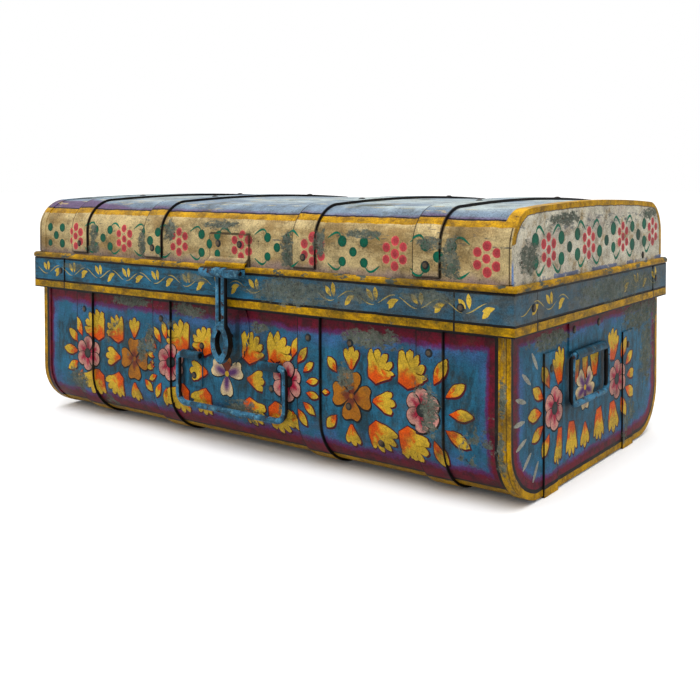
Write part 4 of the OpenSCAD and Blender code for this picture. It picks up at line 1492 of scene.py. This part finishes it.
def lid_side(sign):
    """The same of the lid's front (-1) or rear (1), up to the middle of its top."""
    hasp = BOXES["hasp_plate"]

    def place(u, v, lift):
        if v <= SHOULDER_Z:
            return (u, sign * (LID_HALF_DEPTH + lift), v)
        if v <= TOP_V:
            out, up = on_bend(v - SHOULDER_Z, SHOULDER_R, lift)
            return (u, sign * (SHOULDER_Y + out), SHOULDER_Z + up)
        y = SHOULDER_Y - (v - TOP_V)
        crown = CROWN_RISE * (1 - (y / SHOULDER_Y) ** 2)
        return (u, sign * y, SHOULDER_Z + SHOULDER_R + crown + lift)

    def raised(u, v):
        if sign < 0 and hasp[0].x < u < hasp[1].x and v < hasp[1].z:
            return PLATE_T if v > HASP_BEND_Z else None
        return STRAP_T if any(within(u, s) for s in LID_STRAPS) and v > STRAP_FROM_Z else 0

    cuts_u = [edge for s in LID_STRAPS for edge in s]
    cuts_v = [STRAP_FROM_Z] + bend_cuts(SHOULDER_Z, SHOULDER_R, BEND_STEPS + 1)
    if sign < 0:
        cuts_u += [hasp[0].x, hasp[1].x]
        cuts_v += [HASP_BEND_Z, hasp[1].z]
    return place, raised, cuts_u, cuts_v


def lid_end(sign):
    """The same of the lid's left (-1) or right (1) end, which has no straps."""
    return flat_face(0, LID_HALF_LEN, sign), (lambda u, v: 0), [], []


def rim_face(axis, sign, reach, half, clip):
    """The same of a side or an end of the rim band, with its corner clips."""
    start = half - clip

    def raised(u, v):
        return CLIP_T if abs(u) > start else 0

    return flat_face(axis, reach, sign), raised, [-start, start], []


def paint_face(part, side, face, *drawings):
    art = Artwork(f"{part}_{side}_ornament", *PAINTINGS[part], *face)
    for draw in drawings:
        draw(art)
    art.finish()


def draw_all():
    """Each face's painting, once for each side of the trunk."""
    for sign, side in ((-1, "front"), (1, "rear")):
        rim = rim_face(1, sign, RIM_HALF_DEPTH, RIM_HALF_LEN, CLIP_LENGTH)
        paint_face("body", side, body_side(sign), draw_body_side)
        paint_face("lid", side, lid_side(sign), draw_lid_side, draw_lid_top)
        paint_face("rim", side, rim, draw_rim_side)
    for sign, side in ((-1, "left"), (1, "right")):
        rim = rim_face(0, sign, RIM_HALF_LEN, RIM_HALF_DEPTH, CLIP_SHORT)
        paint_face("body", side, body_end(sign), draw_body_end)
        paint_face("lid", side, lid_end(sign), draw_lid_end)
        paint_face("rim", side, rim, draw_rim_end)


def is_seen(tree):
    """1 for what the camera sees, directly or in a reflection or through glass."""
    path = tree.nodes.new("ShaderNodeLightPath")
    rays = ("Is Camera Ray", "Is Glossy Ray", "Is Transmission Ray")
    return most(*(Val(tree, path.outputs[ray]) for ray in rays))


# The floor's grey as seen and as it throws light back, its glow, and the light from the sides and overhead
FLOOR_SEEN = 0.98
FLOOR_BOUNCE = 0.45
FLOOR_GLOW = 0.02
SKY_LOW = 0.12
SKY_HIGH = 1.7


def floor():
    """A floor that is white to the camera and keeps the trunk's shadow, and throws less light back up."""
    bpy.ops.mesh.primitive_plane_add(size=40, location=(0, 0, -0.0005))
    ground = bpy.context.object
    ground.name = "floor"
    material = bpy.data.materials.new("floor")
    tree = emptied(material)
    seen = is_seen(tree)
    shade = seen * (FLOOR_SEEN - FLOOR_BOUNCE) + FLOOR_BOUNCE
    grey = tree.nodes.new("ShaderNodeCombineColor")
    for name in ("Red", "Green", "Blue"):
        put(tree, grey.inputs[name], shade)
    diffuse = tree.nodes.new("ShaderNodeBsdfDiffuse")
    tree.links.new(grey.outputs[0], diffuse.inputs["Color"])
    glow = tree.nodes.new("ShaderNodeEmission")
    put(tree, glow.inputs["Strength"], seen * FLOOR_GLOW)
    both = tree.nodes.new("ShaderNodeAddShader")
    tree.links.new(diffuse.outputs[0], both.inputs[0])
    tree.links.new(glow.outputs[0], both.inputs[1])
    end_with(tree, both)
    ground.data.materials.append(material)


def world():
    """A white studio, brighter overhead than at the sides for what it lights."""
    sky = bpy.data.worlds.new("studio")
    bpy.context.scene.world = sky
    tree = emptied(sky)
    back = tree.nodes.new("ShaderNodeBackground")
    back.inputs["Color"].default_value = (1, 1, 1, 1)
    facing = parts_of(tree, tree.nodes.new("ShaderNodeTexCoord").outputs["Generated"])
    light = most(facing[2], 0) * (SKY_HIGH - SKY_LOW) + SKY_LOW
    seen = is_seen(tree)
    put(tree, back.inputs["Strength"], light + (1 - light) * seen)
    end_with(tree, back, "World")


def lamp(name, place, target, size, power):
    light = bpy.data.lights.new(name, "AREA")
    light.size = size
    light.energy = power
    thing = bpy.data.objects.new(name, light)
    thing.location = place
    thing.rotation_euler = (Vector(target) - Vector(place)).to_track_quat("-Z", "Y").to_euler()
    bpy.context.scene.collection.objects.link(thing)


def camera():
    """The photograph's view: place in metres, turn and tilt, focal length and middle in its pixels."""
    place = Vector((0.8087, -0.9519, 0.3257))
    yaw, tilt = -0.5900, 0.0227
    focal, middle_u, middle_v, width = 907.2, 442.2, 200.7, 700
    ahead = Vector((math.sin(yaw) * math.cos(tilt), math.cos(yaw) * math.cos(tilt), -math.sin(tilt)))
    data = bpy.data.cameras.new("view")
    data.lens = focal / width * data.sensor_width
    data.shift_x = (width / 2 - middle_u) / width
    data.shift_y = (middle_v - width / 2) / width
    data.clip_start = 0.01
    eye = bpy.data.objects.new("view", data)
    eye.location = place
    eye.rotation_euler = ahead.to_track_quat("-Z", "Y").to_euler()
    bpy.context.scene.collection.objects.link(eye)
    bpy.context.scene.camera = eye


bpy.context.scene.view_settings.view_transform = "Standard"
finish_nodes()
draw_all()
floor()
world()
lamp("overhead", (0.2, -0.3, 2.2), (0, 0, 0.1), 2.0, 22)
lamp("front", (0.9, -1.8, 2.0), (0, 0, 0.1), 1.4, 13)
lamp("left", (-1.8, -0.8, 1.7), (0, 0, 0.1), 1.2, 6)
camera()
